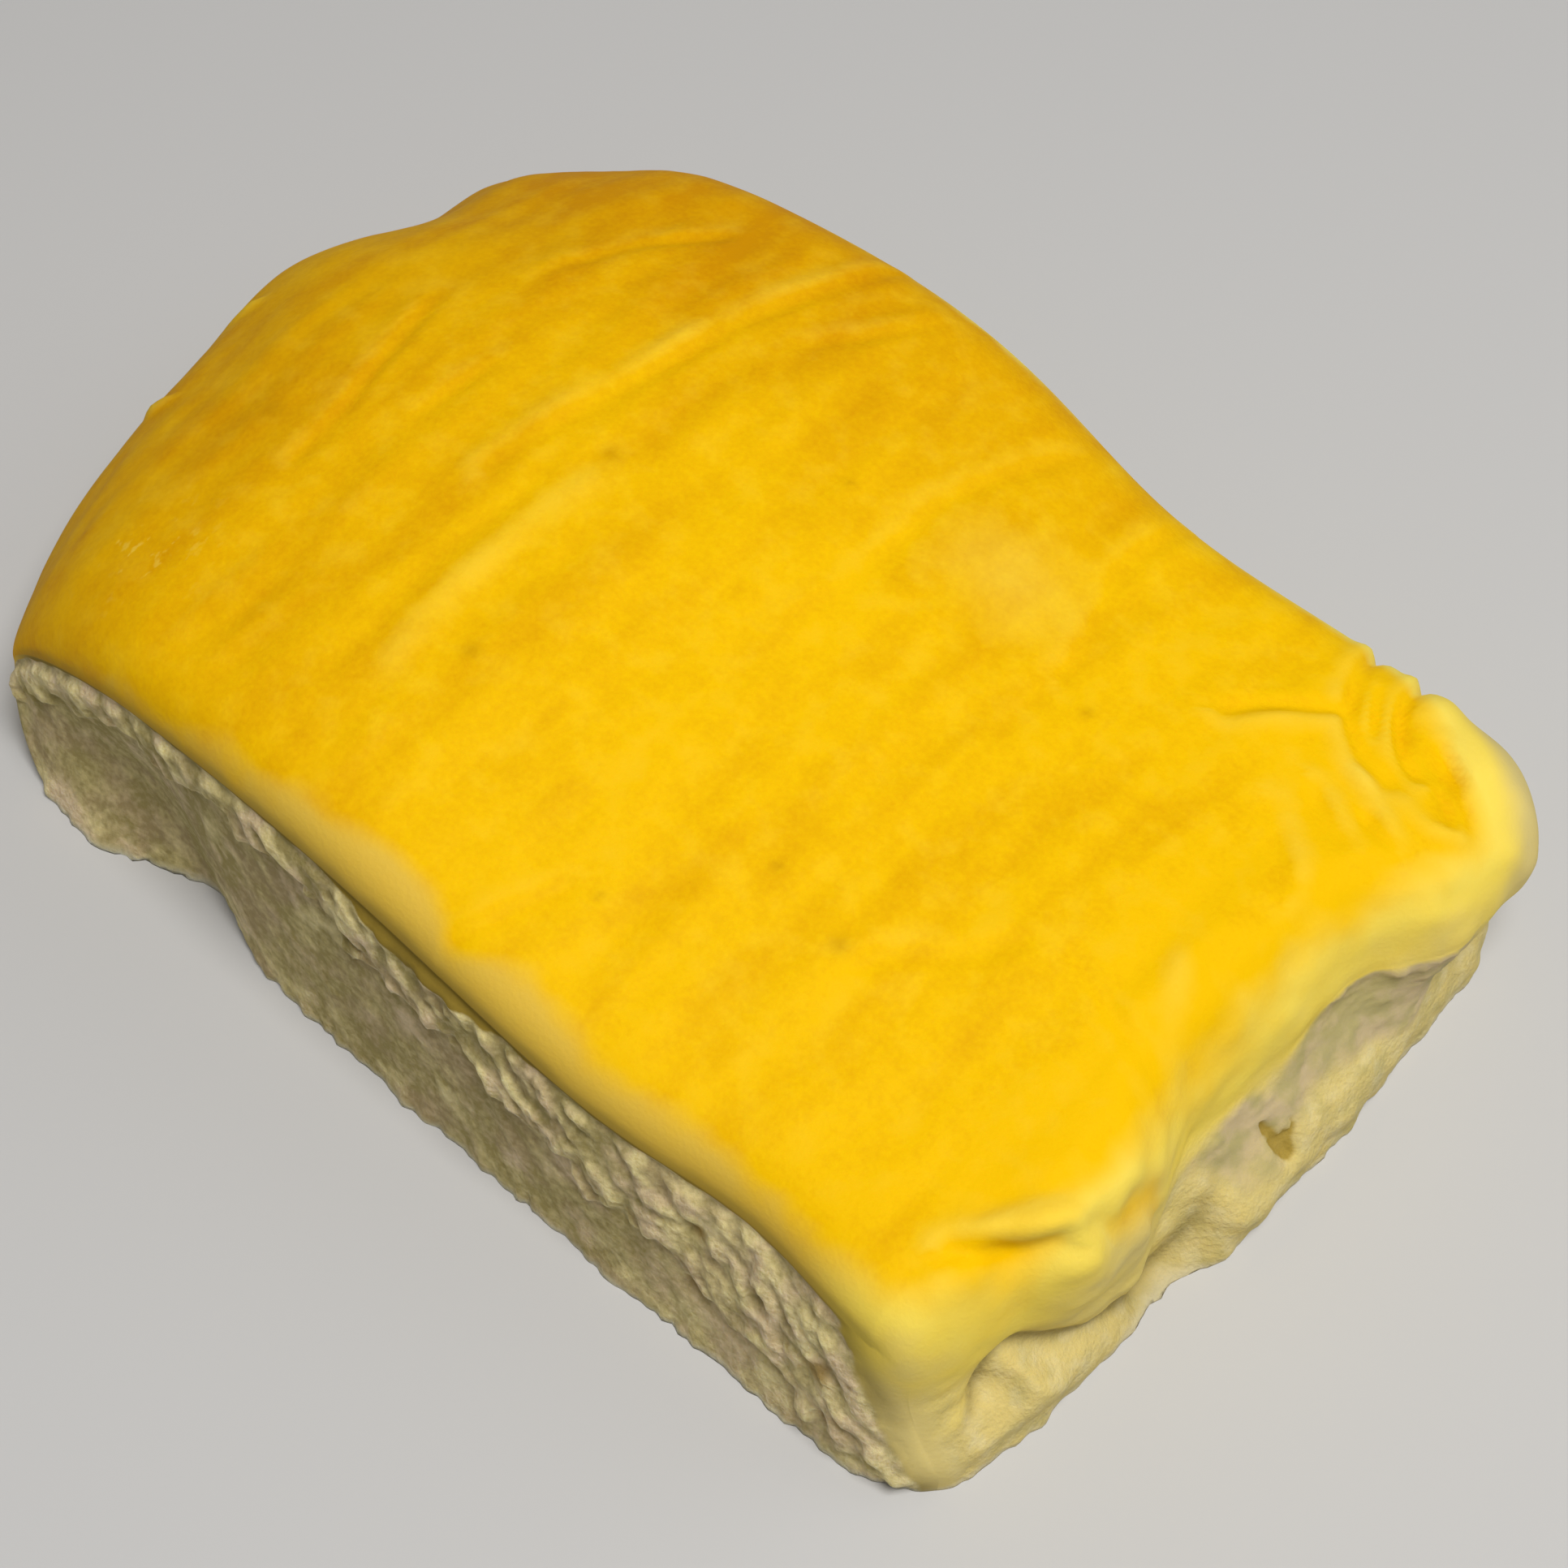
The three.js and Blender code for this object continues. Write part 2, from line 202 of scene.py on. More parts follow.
def beside_line(places, line):
    best = np.full(len(places), np.inf)
    side, share = np.zeros(len(places)), np.zeros(len(places))
    for i in range(len(line) - 1):
        step = line[i + 1] - line[i]
        offset = places - line[i]
        t = np.clip(offset @ step / (step @ step), 0, 1)
        gap = offset - t[:, None] * step
        distance = np.hypot(gap[:, 0], gap[:, 1])
        nearer = distance < best
        best = np.where(nearer, distance, best)
        turn = np.sign(step[0] * offset[:, 1] - step[1] * offset[:, 0])
        side = np.where(nearer, turn, side)
        share = np.where(nearer, (i + t) / (len(line) - 1), share)
    return best * side, share


print("points of the seam line:", len(soft_line(SEAM_LINE)))

# %% Plan of the ends and sides
def across_pad(t, low, high, span):
    low_turn = np.clip((t + 1) / low["zone"], 0, 1) * math.pi / 2
    high_turn = np.clip((1 - t) / high["zone"], 0, 1) * math.pi / 2
    flat = np.clip((t + 1 - low["zone"]) / (2 - low["zone"] - high["zone"]), 0, 1)
    middle = flat * (span - low["reach"] - high["reach"])
    from_low = low["reach"] * (1 - np.abs(np.cos(low_turn)) ** low["power"])
    to_high = high["reach"] * np.abs(np.cos(high_turn)) ** high["power"]
    share = (from_low + middle + to_high) / span
    return share, np.sin(low_turn) ** low["power"], np.sin(high_turn) ** high["power"]


def fold_end(y, drop):
    return -PAD_LENGTH / 2 - FOLD_BOW * (1 - y * y) + FOLD_TUCK * (1 - np.sqrt(1 - drop * drop))


def lip_line(y):
    swells = sum(swell["rise"] * plateau(y, *swell["sides"]) for swell in LIP_SWELLS)
    return PAD_LENGTH / 2 + OPEN_BOW * (1 - y * y) + OPEN_SLANT * y + swells


def foot_line(y):
    corner = FOOT_LINE["corner"] * (1 - ease(y, *FOOT_LINE["sides"]))
    reach = FOOT_LINE["reach"] + corner - FOOT_LINE["far_loss"] * np.maximum(y, 0)
    return PAD_LENGTH / 2 + OPEN_BOW * (1 - y * y) + OPEN_SLANT * y + reach


def open_end(y, drop):
    height = OPEN_ROLL["level"] - drop * (OPEN_ROLL["level"] + BASE_CUT)
    above = beside_line(np.stack([y * PAD_WIDTH / 2, height], axis=1), soft_line(SEAM_LINE))[0]
    start = mix(LEAF["corner_start"], LEAF["start"], ease(y, *LEAF["corner"]))
    stepped = 1 - (1 - ease(drop, start, start + LEAF["span"])) * (1 - ease(-above, 0, LEAF["ledge"]))
    sloped = ease(drop, LEAF_SLOPE["start"], LEAF_SLOPE["stop"])
    leaf = mix(lip_line(y), foot_line(y), mix(stepped, sloped, ease(y, *LEAF_SLOPE["sides"])))
    width = np.where(above > 0, SEAM_WIDTH["above"], SEAM_WIDTH["below"])
    seam = through(y, SEAM_DEPTH) * bump(above, 0, width)
    overhang = ease(y, *UNDERCUT["sides"]) * bump(drop, UNDERCUT["drop"], UNDERCUT["spread"])
    return leaf - seam - UNDERCUT["depth"] * overhang


def torn_side(x, drop):
    notch = TORN_NOTCH["depth"] * bump(x, TORN_NOTCH["at"], TORN_NOTCH["spread"])
    foot = TORN_FOOT["reach"] * bump(x, TORN_FOOT["at"], TORN_FOOT["spread"])
    flare = TORN_FLARE["reach"] * (1 - ease(x, *TORN_FLARE["fade"]))
    dip = TORN_DIP["depth"] * bump(x, TORN_DIP["at"], TORN_DIP["spread"])
    return -PAD_WIDTH / 2 - TORN_BOW * (1 - x * x) + dip * (1 - drop) + (notch - foot - flare) * drop


def far_side(x, drop):
    waist = FAR_WAIST["depth"] * bump(x, FAR_WAIST["at"], FAR_WAIST["spread"])
    return PAD_WIDTH / 2 + FAR_BOW * (1 - x * x) - waist - FAR_TUCK * drop


print("fold end to open lip on the middle line:", round(float(lip_line(0) - fold_end(0, 0)), 1), "mm")

# %% Height of the skin and round corners
def skin_level(x, y, fold_up, open_up, torn_up, far_up):
    crown = DOME["rise"] * bump(x, DOME["at"], DOME["spread"]) + CROWN_RISE * (1 - y * y) - LEAN * y
    rolled = SKIN_HEIGHT + crown - TORN_ROLL["drop"] * (1 - torn_up) - FAR_ROLL["drop"] * (1 - far_up)
    at_open_end = mix(OPEN_ROLL["level"], rolled, open_up)
    return mix(FOLD_ROLL["level"] + FOLD_ROLL["skew"] * y, at_open_end, fold_up)


def round_corner(px, py, side_x, side_y, radius, end_x, end_y):
    inner_x = end_x * side_x - radius
    inner_y = end_y * side_y - radius
    dx = (px * side_x - inner_x) / radius
    dy = (py * side_y - inner_y) / radius
    inside = (dx > 0) & (dy > 0)
    dx, dy = np.where(inside, dx, 0), np.where(inside, dy, 0)
    round_x = side_x * (inner_x + radius * dx * np.sqrt(1 - dy * dy / 2))
    round_y = side_y * (inner_y + radius * dy * np.sqrt(1 - dx * dx / 2))
    return np.where(inside, round_x, px), np.where(inside, round_y, py)


print("skin at the middle of the pad:", round(float(skin_level(0, 0, 1, 1, 1, 1)), 1), "mm")

# %% Carry the block to the smooth bread
across, torn_up, far_up = across_pad(v, TORN_ROLL, FAR_ROLL, PAD_WIDTH)
plan_y, drop = 2 * across - 1, 1 - w
open_reach = mix(OPEN_ROLL["corner_reach"], OPEN_ROLL["reach"], ease(plan_y, *OPEN_ROLL["corner"]))
along, fold_up, open_up = across_pad(u, FOLD_ROLL, dict(OPEN_ROLL, reach=open_reach), PAD_LENGTH)
plan_x = 2 * along - 1
ends_x = {-1: fold_end(plan_y, drop), 1: open_end(plan_y, drop)}
ends_y = {-1: torn_side(plan_x, drop), 1: far_side(plan_x, drop)}
lumps = sum(lump["rise"] * bump(plan_y, lump["at"], lump["spread"]) for lump in FOLD_LUMPS)
px = mix(ends_x[-1], ends_x[1], along) - lumps * w * (1 - along) ** LUMP_FADE
py = mix(ends_y[-1], ends_y[1], across)
for side_x, side_y, radius in CORNERS:
    px, py = round_corner(px, py, side_x, side_y, radius, ends_x[side_x], ends_y[side_y])
rim = skin_level(plan_x, plan_y, fold_up, open_up, torn_up, far_up)
smooth = np.stack([px, py, w * (rim + BASE_CUT) - BASE_CUT], axis=1)


def centred(points):
    low, high = points.min(axis=0), points.max(axis=0)
    return points - [(low[0] + high[0]) / 2, (low[1] + high[1]) / 2, 0]


smooth = centred(smooth)
write_points(bread_mesh, smooth)
print("smooth bread in millimetres:", np.ptp(smooth, axis=0).round(1))

# %% [markdown]
# ## Rubbed edges
# A baker's thumb would take the sharp corners off the dough. A bevel would cut them evenly, while
# smooth_vert moves each chosen point towards the middle of its neighbours and leaves soft, uneven
# dough. The front corner and the lip take many passes, and a few take the last sharpness off the leaves.

# %% Rub the front corner and the leaves round
RUB_CORNER = dict(reach=5.0, rounds=60)
RUB_LIP = dict(reach=3.0, above=0.75, y=(-16, 24), rounds=25)
RUB_LEAVES = dict(rounds=5)
RUB_STEP = dict(factor=0.5, use_axis_x=True, use_axis_y=True, use_axis_z=True)
ABOVE_FOOT = 0.02
ON_FACE = 0.999

from_torn, from_far = across * PAD_WIDTH, (1 - across) * PAD_WIDTH
from_fold, from_open = along * PAD_LENGTH, (1 - along) * PAD_LENGTH


def rub_round(mesh, chosen, rounds):
    dough = bmesh.new()
    dough.from_mesh(mesh)
    dough.verts.ensure_lookup_table()
    picked = [dough.verts[i] for i in np.flatnonzero(chosen)]
    for _ in range(rounds):
        bmesh.ops.smooth_vert(dough, verts=picked, **RUB_STEP)
    dough.to_mesh(mesh)
    dough.free()
    return len(picked)


at_corner = (np.maximum(from_torn, from_open) < RUB_CORNER["reach"]) & (w > ABOVE_FOOT)
at_lip = (from_open < RUB_LIP["reach"]) & (w > RUB_LIP["above"])
at_lip &= (smooth[:, 1] > RUB_LIP["y"][0]) & (smooth[:, 1] < RUB_LIP["y"][1])
on_leaves = (u > ON_FACE) & (w > ABOVE_FOOT)
for place, chosen, rub in [
    ("corner", at_corner, RUB_CORNER),
    ("lip", at_lip, RUB_LIP),
    ("leaves", on_leaves, RUB_LEAVES),
]:
    print("points rubbed at the", place + ":", rub_round(bread_mesh, chosen, rub["rounds"]))
smooth = read_points(bread_mesh)

# %% [markdown]
# ## Grain for an uneven surface
# Dough is never even. Gradient noise gives smooth random lumps of a chosen size: each corner of a grid of
# cells gets a random slope, and a point mixes the slopes of the eight corners round it. The slopes come
# from a seeded generator, so every run gives the same bread. A size for each axis stretches the lumps
# into strands. Several sizes are often added up, so waves sums a list of height, size and seed.

# %% Noise for lumps and strands
HASH_PRIMES = np.array([73856093, 19349663, 83492791])
SLOPE_COUNT = 4096


def grain(points, size, seed):
    slopes = np.random.default_rng(seed).normal(size=(SLOPE_COUNT, 3))
    place = points / np.asarray(size, dtype=float)
    cell = np.floor(place).astype(np.int64)
    inside = place - cell
    fade = inside**3 * (inside * (inside * 6 - 15) + 10)
    total = np.zeros(len(points))
    for corner in np.ndindex(2, 2, 2):
        picked = np.bitwise_xor.reduce((cell + corner) * HASH_PRIMES, axis=1) % SLOPE_COUNT
        weight = np.prod(np.where(corner, fade, 1 - fade), axis=1)
        total += weight * ((inside - corner) * slopes[picked]).sum(axis=1)
    return total


def tufts(points, size, seed):
    return np.abs(grain(points, size, seed))


def lumpy(points, form, seed):
    return form["height"] * grain(points, form["size"], seed)


def waves(points, rows, seed=0, start=0):
    return sum((height * grain(points, size, seed + step) for height, size, step in rows), start)


x, y, z = smooth.T
trial = grain(smooth, 4, 1)
print("grain spread:", trial.std().round(2), "mean height of tufts:", np.abs(trial).mean().round(2))

# %% [markdown]
# ## Folds and wrinkles of the skin
# Before it was baked, the upper leaf was pinched at the open corners and shrank over the fold, so the
# skin has a few deep pleats and many faint wrinkles. Each one is a short line in plan with a half width,
# a depth, and a lip: the raised roll of dough on the left of the line. A depth below zero is a ridge, and
# every line fades towards its ends. A brush would do this by hand, but a list can be read and corrected.

# %% Lines of the folds and wrinkles
FOLDS = [
    # Tongue of dough at the front corner, the soft ridges under it and the dimple beside it
    ([(57.6, -33), (59.5, -31.4), (61.6, -28.4), (63, -25.8)], 1.0, 1.2, 0.9),
    ([(60.4, -28.6), (61.6, -25), (62.8, -20.6), (63.6, -16)], 1.1, -0.8, 0),
    ([(63.6, -27.4), (64.9, -24.1), (65.1, -21.5), (64.7, -18.8)], 1.1, -0.95, 0),
    ([(64.8, -21.6), (65.6, -17.4), (65.6, -13.4)], 1.0, 1.3, 0),
    ([(66.6, -22.5), (67.2, -17), (66.8, -11)], 1.0, -0.75, 0),
    # Pleats gathered at the far corner
    ([(56.6, 30.7), (54.5, 30.9), (52.9, 31.3), (50.6, 33), (48.4, 34.4), (46, 31.9), (43.3, 29.1),
      (40.7, 25.8)], 0.9, 0.55, 0.6),
    ([(58, 33.2), (56.2, 33.9), (54.6, 35.3), (53.1, 37.3), (51.9, 40), (51.5, 46)], 0.7, 0.95, 0.45),
    ([(49, 35), (47.2, 38.5), (46.3, 42.5), (46.2, 47)], 0.8, 0.85, 0.45),
    ([(52.4, 34.4), (51, 36.6), (49.6, 39)], 0.6, 0.6, 0.35),
    ([(54, 40.5), (54.8, 46)], 1.7, -0.7, 0),
    # Hollow inside the pale roll of the far corner, and the roll itself
    ([(57.8, 36.2), (60.2, 35.3), (62.6, 33.8), (64.2, 32.2)], 1.5, 0.4, 0),
    ([(57.2, 38.2), (59.6, 37.2), (61.6, 35.8)], 0.55, 0.4, 0.25),
    ([(60.6, 33.2), (62.4, 32.2), (63.6, 30.8)], 0.55, 0.4, 0.25),
    ([(55.5, 43), (58.7, 41.2), (62, 39), (65, 36.5), (67, 33.3), (67.6, 29.5)], 2.0, -0.5, 0),
    # Streaks that run from the pleats into the corner
    ([(53.6, 29.2), (56.7, 28), (58.5, 27.4), (60.4, 26.3)], 0.9, -0.5, 0),
    ([(57.4, 25.8), (58.8, 25.1), (60.6, 24.6)], 0.65, 0.6, 0.3),
    ([(58.4, 29.6), (61.3, 29), (63.2, 29.5), (65, 31.2)], 0.9, -0.5, 0),
    ([(50.6, 19.4), (56.4, 13.9)], 1.1, 0.4, 0.3),
    ([(52, 24.6), (55, 22.6), (57.6, 21.4)], 0.9, 0.3, 0.3),
]
WRINKLES = [
    # Over the fold
    ([(-23.6, -5), (-22.9, 3), (-21.6, 10), (-20.8, 17), (-20.2, 22), (-18.6, 31), (-15.5, 42.6)],
     1.0, 0.36, 0.24),
    ([(-39.2, -15.6), (-39.8, -9.3), (-41.1, -4.3), (-42.5, 0.9), (-44.6, 8.8)], 0.8, 0.35, 0.14),
    ([(-33.5, -4.9), (-33.4, -0.1), (-33, 4.4)], 0.8, 0.22, 0.1),
    ([(-15.3, -26.4), (-16.6, -20.4), (-16.5, -15), (-17.2, -6.7), (-15.7, 0.4)], 1.7, -0.24, 0),
    ([(-18.8, -29.4), (-19.1, -21.6), (-20.2, -15), (-19.5, -10.1), (-18.9, -3.9)], 1.4, 0.22, 0),
    ([(-38, 19.8), (-34.8, 28.3), (-30, 35.1)], 0.8, 0.25, 0.08),
    ([(-13.9, 27.4), (-10.1, 33.7), (-7.1, 40.1)], 0.9, 0.25, 0.12),
    # Over the middle and the waist
    ([(7.5, 3), (8.3, 10.6), (8.2, 18), (7.8, 23.7), (9.7, 30.2), (12, 37.4)], 0.9, 0.3, 0.12),
    ([(28, 18), (26.9, 22.4), (25.9, 26.4), (24.4, 30), (24, 35.1), (24.9, 41)], 0.9, 0.32, 0.14),
    ([(7.4, -41.2), (9.7, -35.6), (11.5, -31.2)], 0.8, 0.4, 0.12),
    # By the open end
    ([(47.5, -4.8), (50.2, -5.9), (53.1, -7), (56, -8), (59.5, -8.7)], 0.8, 0.36, 0.1),
    ([(54.4, 1.6), (55.3, -0.1), (56.7, -2.4), (57.9, -4.7), (60.2, -6.9)], 1.2, -0.36, 0),
    ([(33.5, -20.5), (37, -15.2), (40.6, -12.7), (43.6, -6.8)], 1.0, 0.26, 0.1),
    # Flakes that peel at the back of the fold
    ([(-65.6, -2), (-64, 0.8)], 0.6, -0.7, 0),
    ([(-62.4, -16), (-61, -13.8)], 0.5, -0.6, 0),
]
CREASE_ENDS = (0.08, 0.92)
CREASE_GRAIN = dict(size=7, height=0.9)
CREASE_LIP = dict(at=1.9, spread=1.2)


def crease_relief(places, line, half, depth, lip):
    offset, share = beside_line(places, soft_line(line))
    faded = np.sqrt(np.clip(np.sin(np.pi * mix(*CREASE_ENDS, share)), 0, 1))
    uneven = faded * (1 + lumpy(np.insert(places, 2, 0, axis=1), CREASE_GRAIN, 13))
    rolled_lip = lip * bump(offset, CREASE_LIP["at"] * half, CREASE_LIP["spread"] * half)
    return uneven * (rolled_lip - depth * bump(offset, 0, half))


print(len(FOLDS), "folds and", len(WRINKLES), "wrinkles")

# %% Relief of the baked skin
SKIN_SWELL = dict(size=(11, 19, 12), height=0.45)
SKIN_PUCKER = dict(size=(3.6, 14, 9), height=0.2)
SKIN_CREPE = dict(size=(1.8, 6, 5), height=0.07)
LIP_LUMPS = dict(size=3.4, height=0.3, fade=(4, 11))
OVER_EDGE = 0.3
INLAND = (1, 9)

on_skin = w > ON_FACE
on_open = (u > ON_FACE) & ~on_skin
on_far = (v > ON_FACE) & ~on_skin
creased = on_skin | on_open | on_far
over_edge = np.where(creased, 1 - ease(drop, 0, OVER_EDGE), 0)
creases = np.zeros(len(smooth))
for line, half, depth, lip in FOLDS + WRINKLES:
    creases[creased] += crease_relief(smooth[creased, :2], line, half, depth, lip)
creases = creases * over_edge
inland = ease(np.minimum(from_torn, from_far), *INLAND) * over_edge
uneven = lumpy(smooth, SKIN_SWELL, 11) + lumpy(smooth, SKIN_PUCKER, 12) + lumpy(smooth, SKIN_CREPE, 14)
lip_lumps = lumpy(smooth, LIP_LUMPS, 15) * (1 - ease(from_open, *LIP_LUMPS["fade"]))
skin_relief = creases + inland * (uneven + lip_lumps)
print("skin relief from", skin_relief.min().round(2), "to", skin_relief.max().round(2), "mm")

# %% [markdown]
# ## Torn crumb
# Where two breads were pulled apart, the soft crumb tears in strands that slant down towards the open
# end. Under the edge of the skin there is a narrow groove, then a band of pale tufts, and below a
# slanting step the crumb lies deeper and smoother. The foot is a little ragged. The absolute value of
# noise is round on top and sharp in between, which is just the look of tufts, and a list of places gives
# the small hollows, which are painted brown as shade. The paleness of the tufts and of the upper band is
# partly real flakes and partly painted highlight.

# %% Relief of torn crumb
RIM_GROOVE = dict(below=1.1, spread=0.6, depth=0.35)
RIM_FADE = (0.6, 2.2)
FLAKE_STEP = dict(level=20.2, fall=0.29, band=4.5, blur=1.2, lift=0.45, sink=0.45)
STEP_WAVES = [(2.0, 6, 0), (1.5, 2.2, 7)]
STRAND_SLANT = math.radians(-50)
STRANDS = dict(size=(6, 4, 2.2), height=0.5, pale=1.0)
THREADS = dict(size=(3.6, 2.6, 1.6), height=0.35, pale=0.6)
CLUMPS = dict(size=(2.4, 2.0, 1.5), height=0.4, pale=0.9)
FLUFF = dict(size=1.3, height=0.35, level=0.25, pale=0.3)
PALE_SPOTS = dict(size=2.6, height=0.4)
LOWER_SHARE = 0.3
FOLD_CALM = dict(share=0.6, x=(-15, 15))
FOOT = dict(height=4, calm=0.7, stretch=(1, 0, 0.3))
FOOT_RAGS = dict(size=6.5, height=0.6)
FOOT_NICKS = dict(size=1.5, height=0.45)
# The pale mask is partly real flakes and partly painted highlight on the crests of the tufts and on the
# upper band that faces the light
FLAKES_AND_HIGHLIGHTS = dict(size=(9, 9, 5), patch=(0, 0.4), low=0.2, more=0.5, pale=(-0.5, 0.7))
# The crumb is painted paler towards the open end
PALER_TOWARDS_OPEN = dict(share=0.4, x=(18, 45))


def slanted(points, angle):
    cos, sin = math.cos(angle), math.sin(angle)
    return points @ np.array([[cos, 0, -sin], [0, 1, 0], [sin, 0, cos]])


def crumb_relief(points, rim, seed):
    px, _, pz = points.T
    below = rim - pz
    step_level = np.minimum(FLAKE_STEP["level"] - FLAKE_STEP["fall"] * px, rim - FLAKE_STEP["band"])
    step_level = step_level + waves(points, STEP_WAVES, seed)
    upper = ease(pz, step_level - FLAKE_STEP["blur"], step_level)
    strands = slanted(points, STRAND_SLANT)
    stranded = grain(strands, STRANDS["size"], seed + 1)
    threaded = grain(strands, THREADS["size"], seed + 8)
    clumped = grain(strands, CLUMPS["size"], seed + 2)
    fluffy = tufts(points, FLUFF["size"], seed + 3) - FLUFF["level"]
    fine = THREADS["height"] * threaded + FLUFF["height"] * fluffy
    raised = STRANDS["height"] * stranded + CLUMPS["height"] * clumped + fine * upper
    calm = mix(FOLD_CALM["share"], 1, ease(px, *FOLD_CALM["x"]))
    raised = raised * mix(LOWER_SHARE, 1, upper) * calm
    raised = raised + mix(-FLAKE_STEP["sink"], FLAKE_STEP["lift"], upper)
    foot = 1 - ease(pz, 0, FOOT["height"])
    lengthwise = points * FOOT["stretch"]
    rags = lumpy(lengthwise, FOOT_RAGS, seed + 4) + lumpy(lengthwise, FOOT_NICKS, seed + 5)
    groove = RIM_GROOVE["depth"] * bump(below, RIM_GROOVE["below"], RIM_GROOVE["spread"])
    relief = raised * ease(below, *RIM_FADE) * (1 - FOOT["calm"] * foot) + foot * rags - groove
    pale = STRANDS["pale"] * stranded + THREADS["pale"] * threaded + CLUMPS["pale"] * clumped
    pale = pale + FLUFF["pale"] * fluffy + lumpy(points, PALE_SPOTS, seed + 6)
    patches = ease(grain(points, FLAKES_AND_HIGHLIGHTS["size"], seed + 9), *FLAKES_AND_HIGHLIGHTS["patch"])
    # paler on the upper band and on the crests: partly real flakes, partly painted highlight
    flake_and_highlight = mix(FLAKES_AND_HIGHLIGHTS["low"] + FLAKES_AND_HIGHLIGHTS["more"] * patches, 1, upper) * ease(pale, *FLAKES_AND_HIGHLIGHTS["pale"])
    return relief, flake_and_highlight + PALER_TOWARDS_OPEN["share"] * ease(px, *PALER_TOWARDS_OPEN["x"])


near_crumb, near_flakes_and_highlights = crumb_relief(smooth, rim, 20)
far_crumb, far_flakes_and_highlights = crumb_relief(smooth, rim, 40)
print("spread of the crumb near and far:", near_crumb.std().round(2), far_crumb.std().round(2), "mm")

# %% [markdown]
# ## Where the sides are torn
# Some skin is left on the sides: at the front corner, at the far corner and, on the far side, next to
# the fold. Its limits are ragged, as a tear is, so noise shifts each limit to and fro before the crumb
# fades in.

# %% Fit the crumb to the sides
CORNER_SKIN = dict(foot=66.4, lean=0.6, width=3.0, waves=[(0.8, 3, 26)])
FAR_SKIN = dict(limit=(30, 40), waves=[(5, 7, 27), (3, 2.5, 28)], lean=0.5, level=12)
FOLD_SKIN = dict(limit=(1, 9), waves=[(4, 6, 29), (2, 2.2, 30)], lean=0.4, level=10)
TORN_ENDS = dict(open=(0, 3), fold=(0, 2))
SIDE_HOLLOW = dict(x=-42, z=10, spread_x=9, spread_z=6, depth=1.6)
PITS = [
    (37, 16, 1.4, 0.8), (38, 8, 1.6, 0.7), (52, 11, 1.8, 0.9), (54, 5, 1.0, 0.7), (24, 15, 1.1, 0.5),
    (30, 12, 1.2, 0.5),
]


def past_limit(places, skin):
    ragged_places = waves(smooth, skin["waves"], start=places) + skin["lean"] * (z - skin["level"])
    return ease(ragged_places, *skin["limit"])


on_torn = (v < -ON_FACE) & ~on_skin
corner_edge = CORNER_SKIN["foot"] - CORNER_SKIN["lean"] * z
corner_x = waves(smooth, CORNER_SKIN["waves"], start=x)
past_corner = ease(corner_x, corner_edge - CORNER_SKIN["width"], corner_edge)
torn_here = np.where(on_torn, ease(from_open, *TORN_ENDS["open"]) * (1 - past_corner), 0)
far_here = np.where(on_far, past_limit(from_fold, FOLD_SKIN) * (1 - past_limit(x, FAR_SKIN)), 0)
pits = sum(depth * bump(np.hypot(x - at_x, z - at_z), 0, size) for at_x, at_z, size, depth in PITS)
hollow = SIDE_HOLLOW["depth"] * bump(x, SIDE_HOLLOW["x"], SIDE_HOLLOW["spread_x"])
hollow = hollow * bump(z, SIDE_HOLLOW["z"], SIDE_HOLLOW["spread_z"])
side_relief = torn_here * ease(from_fold, *TORN_ENDS["fold"]) * (near_crumb - pits - hollow)
side_relief = side_relief + far_here * far_crumb
print("torn relief from", side_relief.min().round(2), "to", side_relief.max().round(2), "mm")

# %% [markdown]
# ## Open end
# The two leaves meet here. The upper leaf ends in a smooth pale lip, and just below it the dough was torn
# in a narrow band, with a star-shaped dent near its middle, painted dark olive as shade. The lower leaf
# is soft and plain, with one faint crease by the front corner and one beside the dent. The same noise,
# faded to a patch, makes the torn stretch, and a closed line gives the dent its points.

# %% Relief of the open end
OPEN_SIDES = (0, 4)
OPEN_TEAR = dict(y=(-9, -3, 26, 33), height=0.5, waves=[(1.6, 5, 64)], blur_foot=1.6, blur=1)
TEAR_TOP = [(-6, 12.5), (0, 13.4), (9, 14.6), (13, 16.5), (24, 17.5)]
TEAR_FOOT = [(-6, 11), (1, 9.2), (8, 10.2), (15, 10.2), (24, 8)]
TEAR_LUMPS = dict(size=3.4, height=0.5)
TEAR_TUFTS = dict(size=1.3, height=0.6)
STAR_DENT = [
    (2.2, 10.7), (1.8, 10), (2.2, 8), (2.9, 5.6), (4.5, 7.7), (6.1, 9.5), (3.5, 9), (2.6, 11.3),
    (2.2, 10.7),
]
STAR = dict(depth=1.0, edge=(-0.3, 0.5), warp=0.5, warp_size=1.3, warp_seeds=(68, 69))
LEAF_FOOT = dict(height=2.5, stretch=(0, 1, 0.5))
LEAF_RAGS = dict(size=3.5, height=0.3)
LEAF_NICKS = dict(size=1.4, height=0.2)
LEAF_SWELLS = [(0.5, 8, 63), (0.35, 3.5, 65), (0.12, 1.7, 73)]
LEAF_SWELL_DROP = (0.1, 0.5)
LEAF_CREASES = [
    ([(-43, 11.6), (-40, 11.8), (-36, 11.4)], 0.9, 0.25, 0.1),
    ([(9.9, 12.6), (8.4, 10.4), (7.6, 8.4)], 0.5, 0.5, 0.2),
]

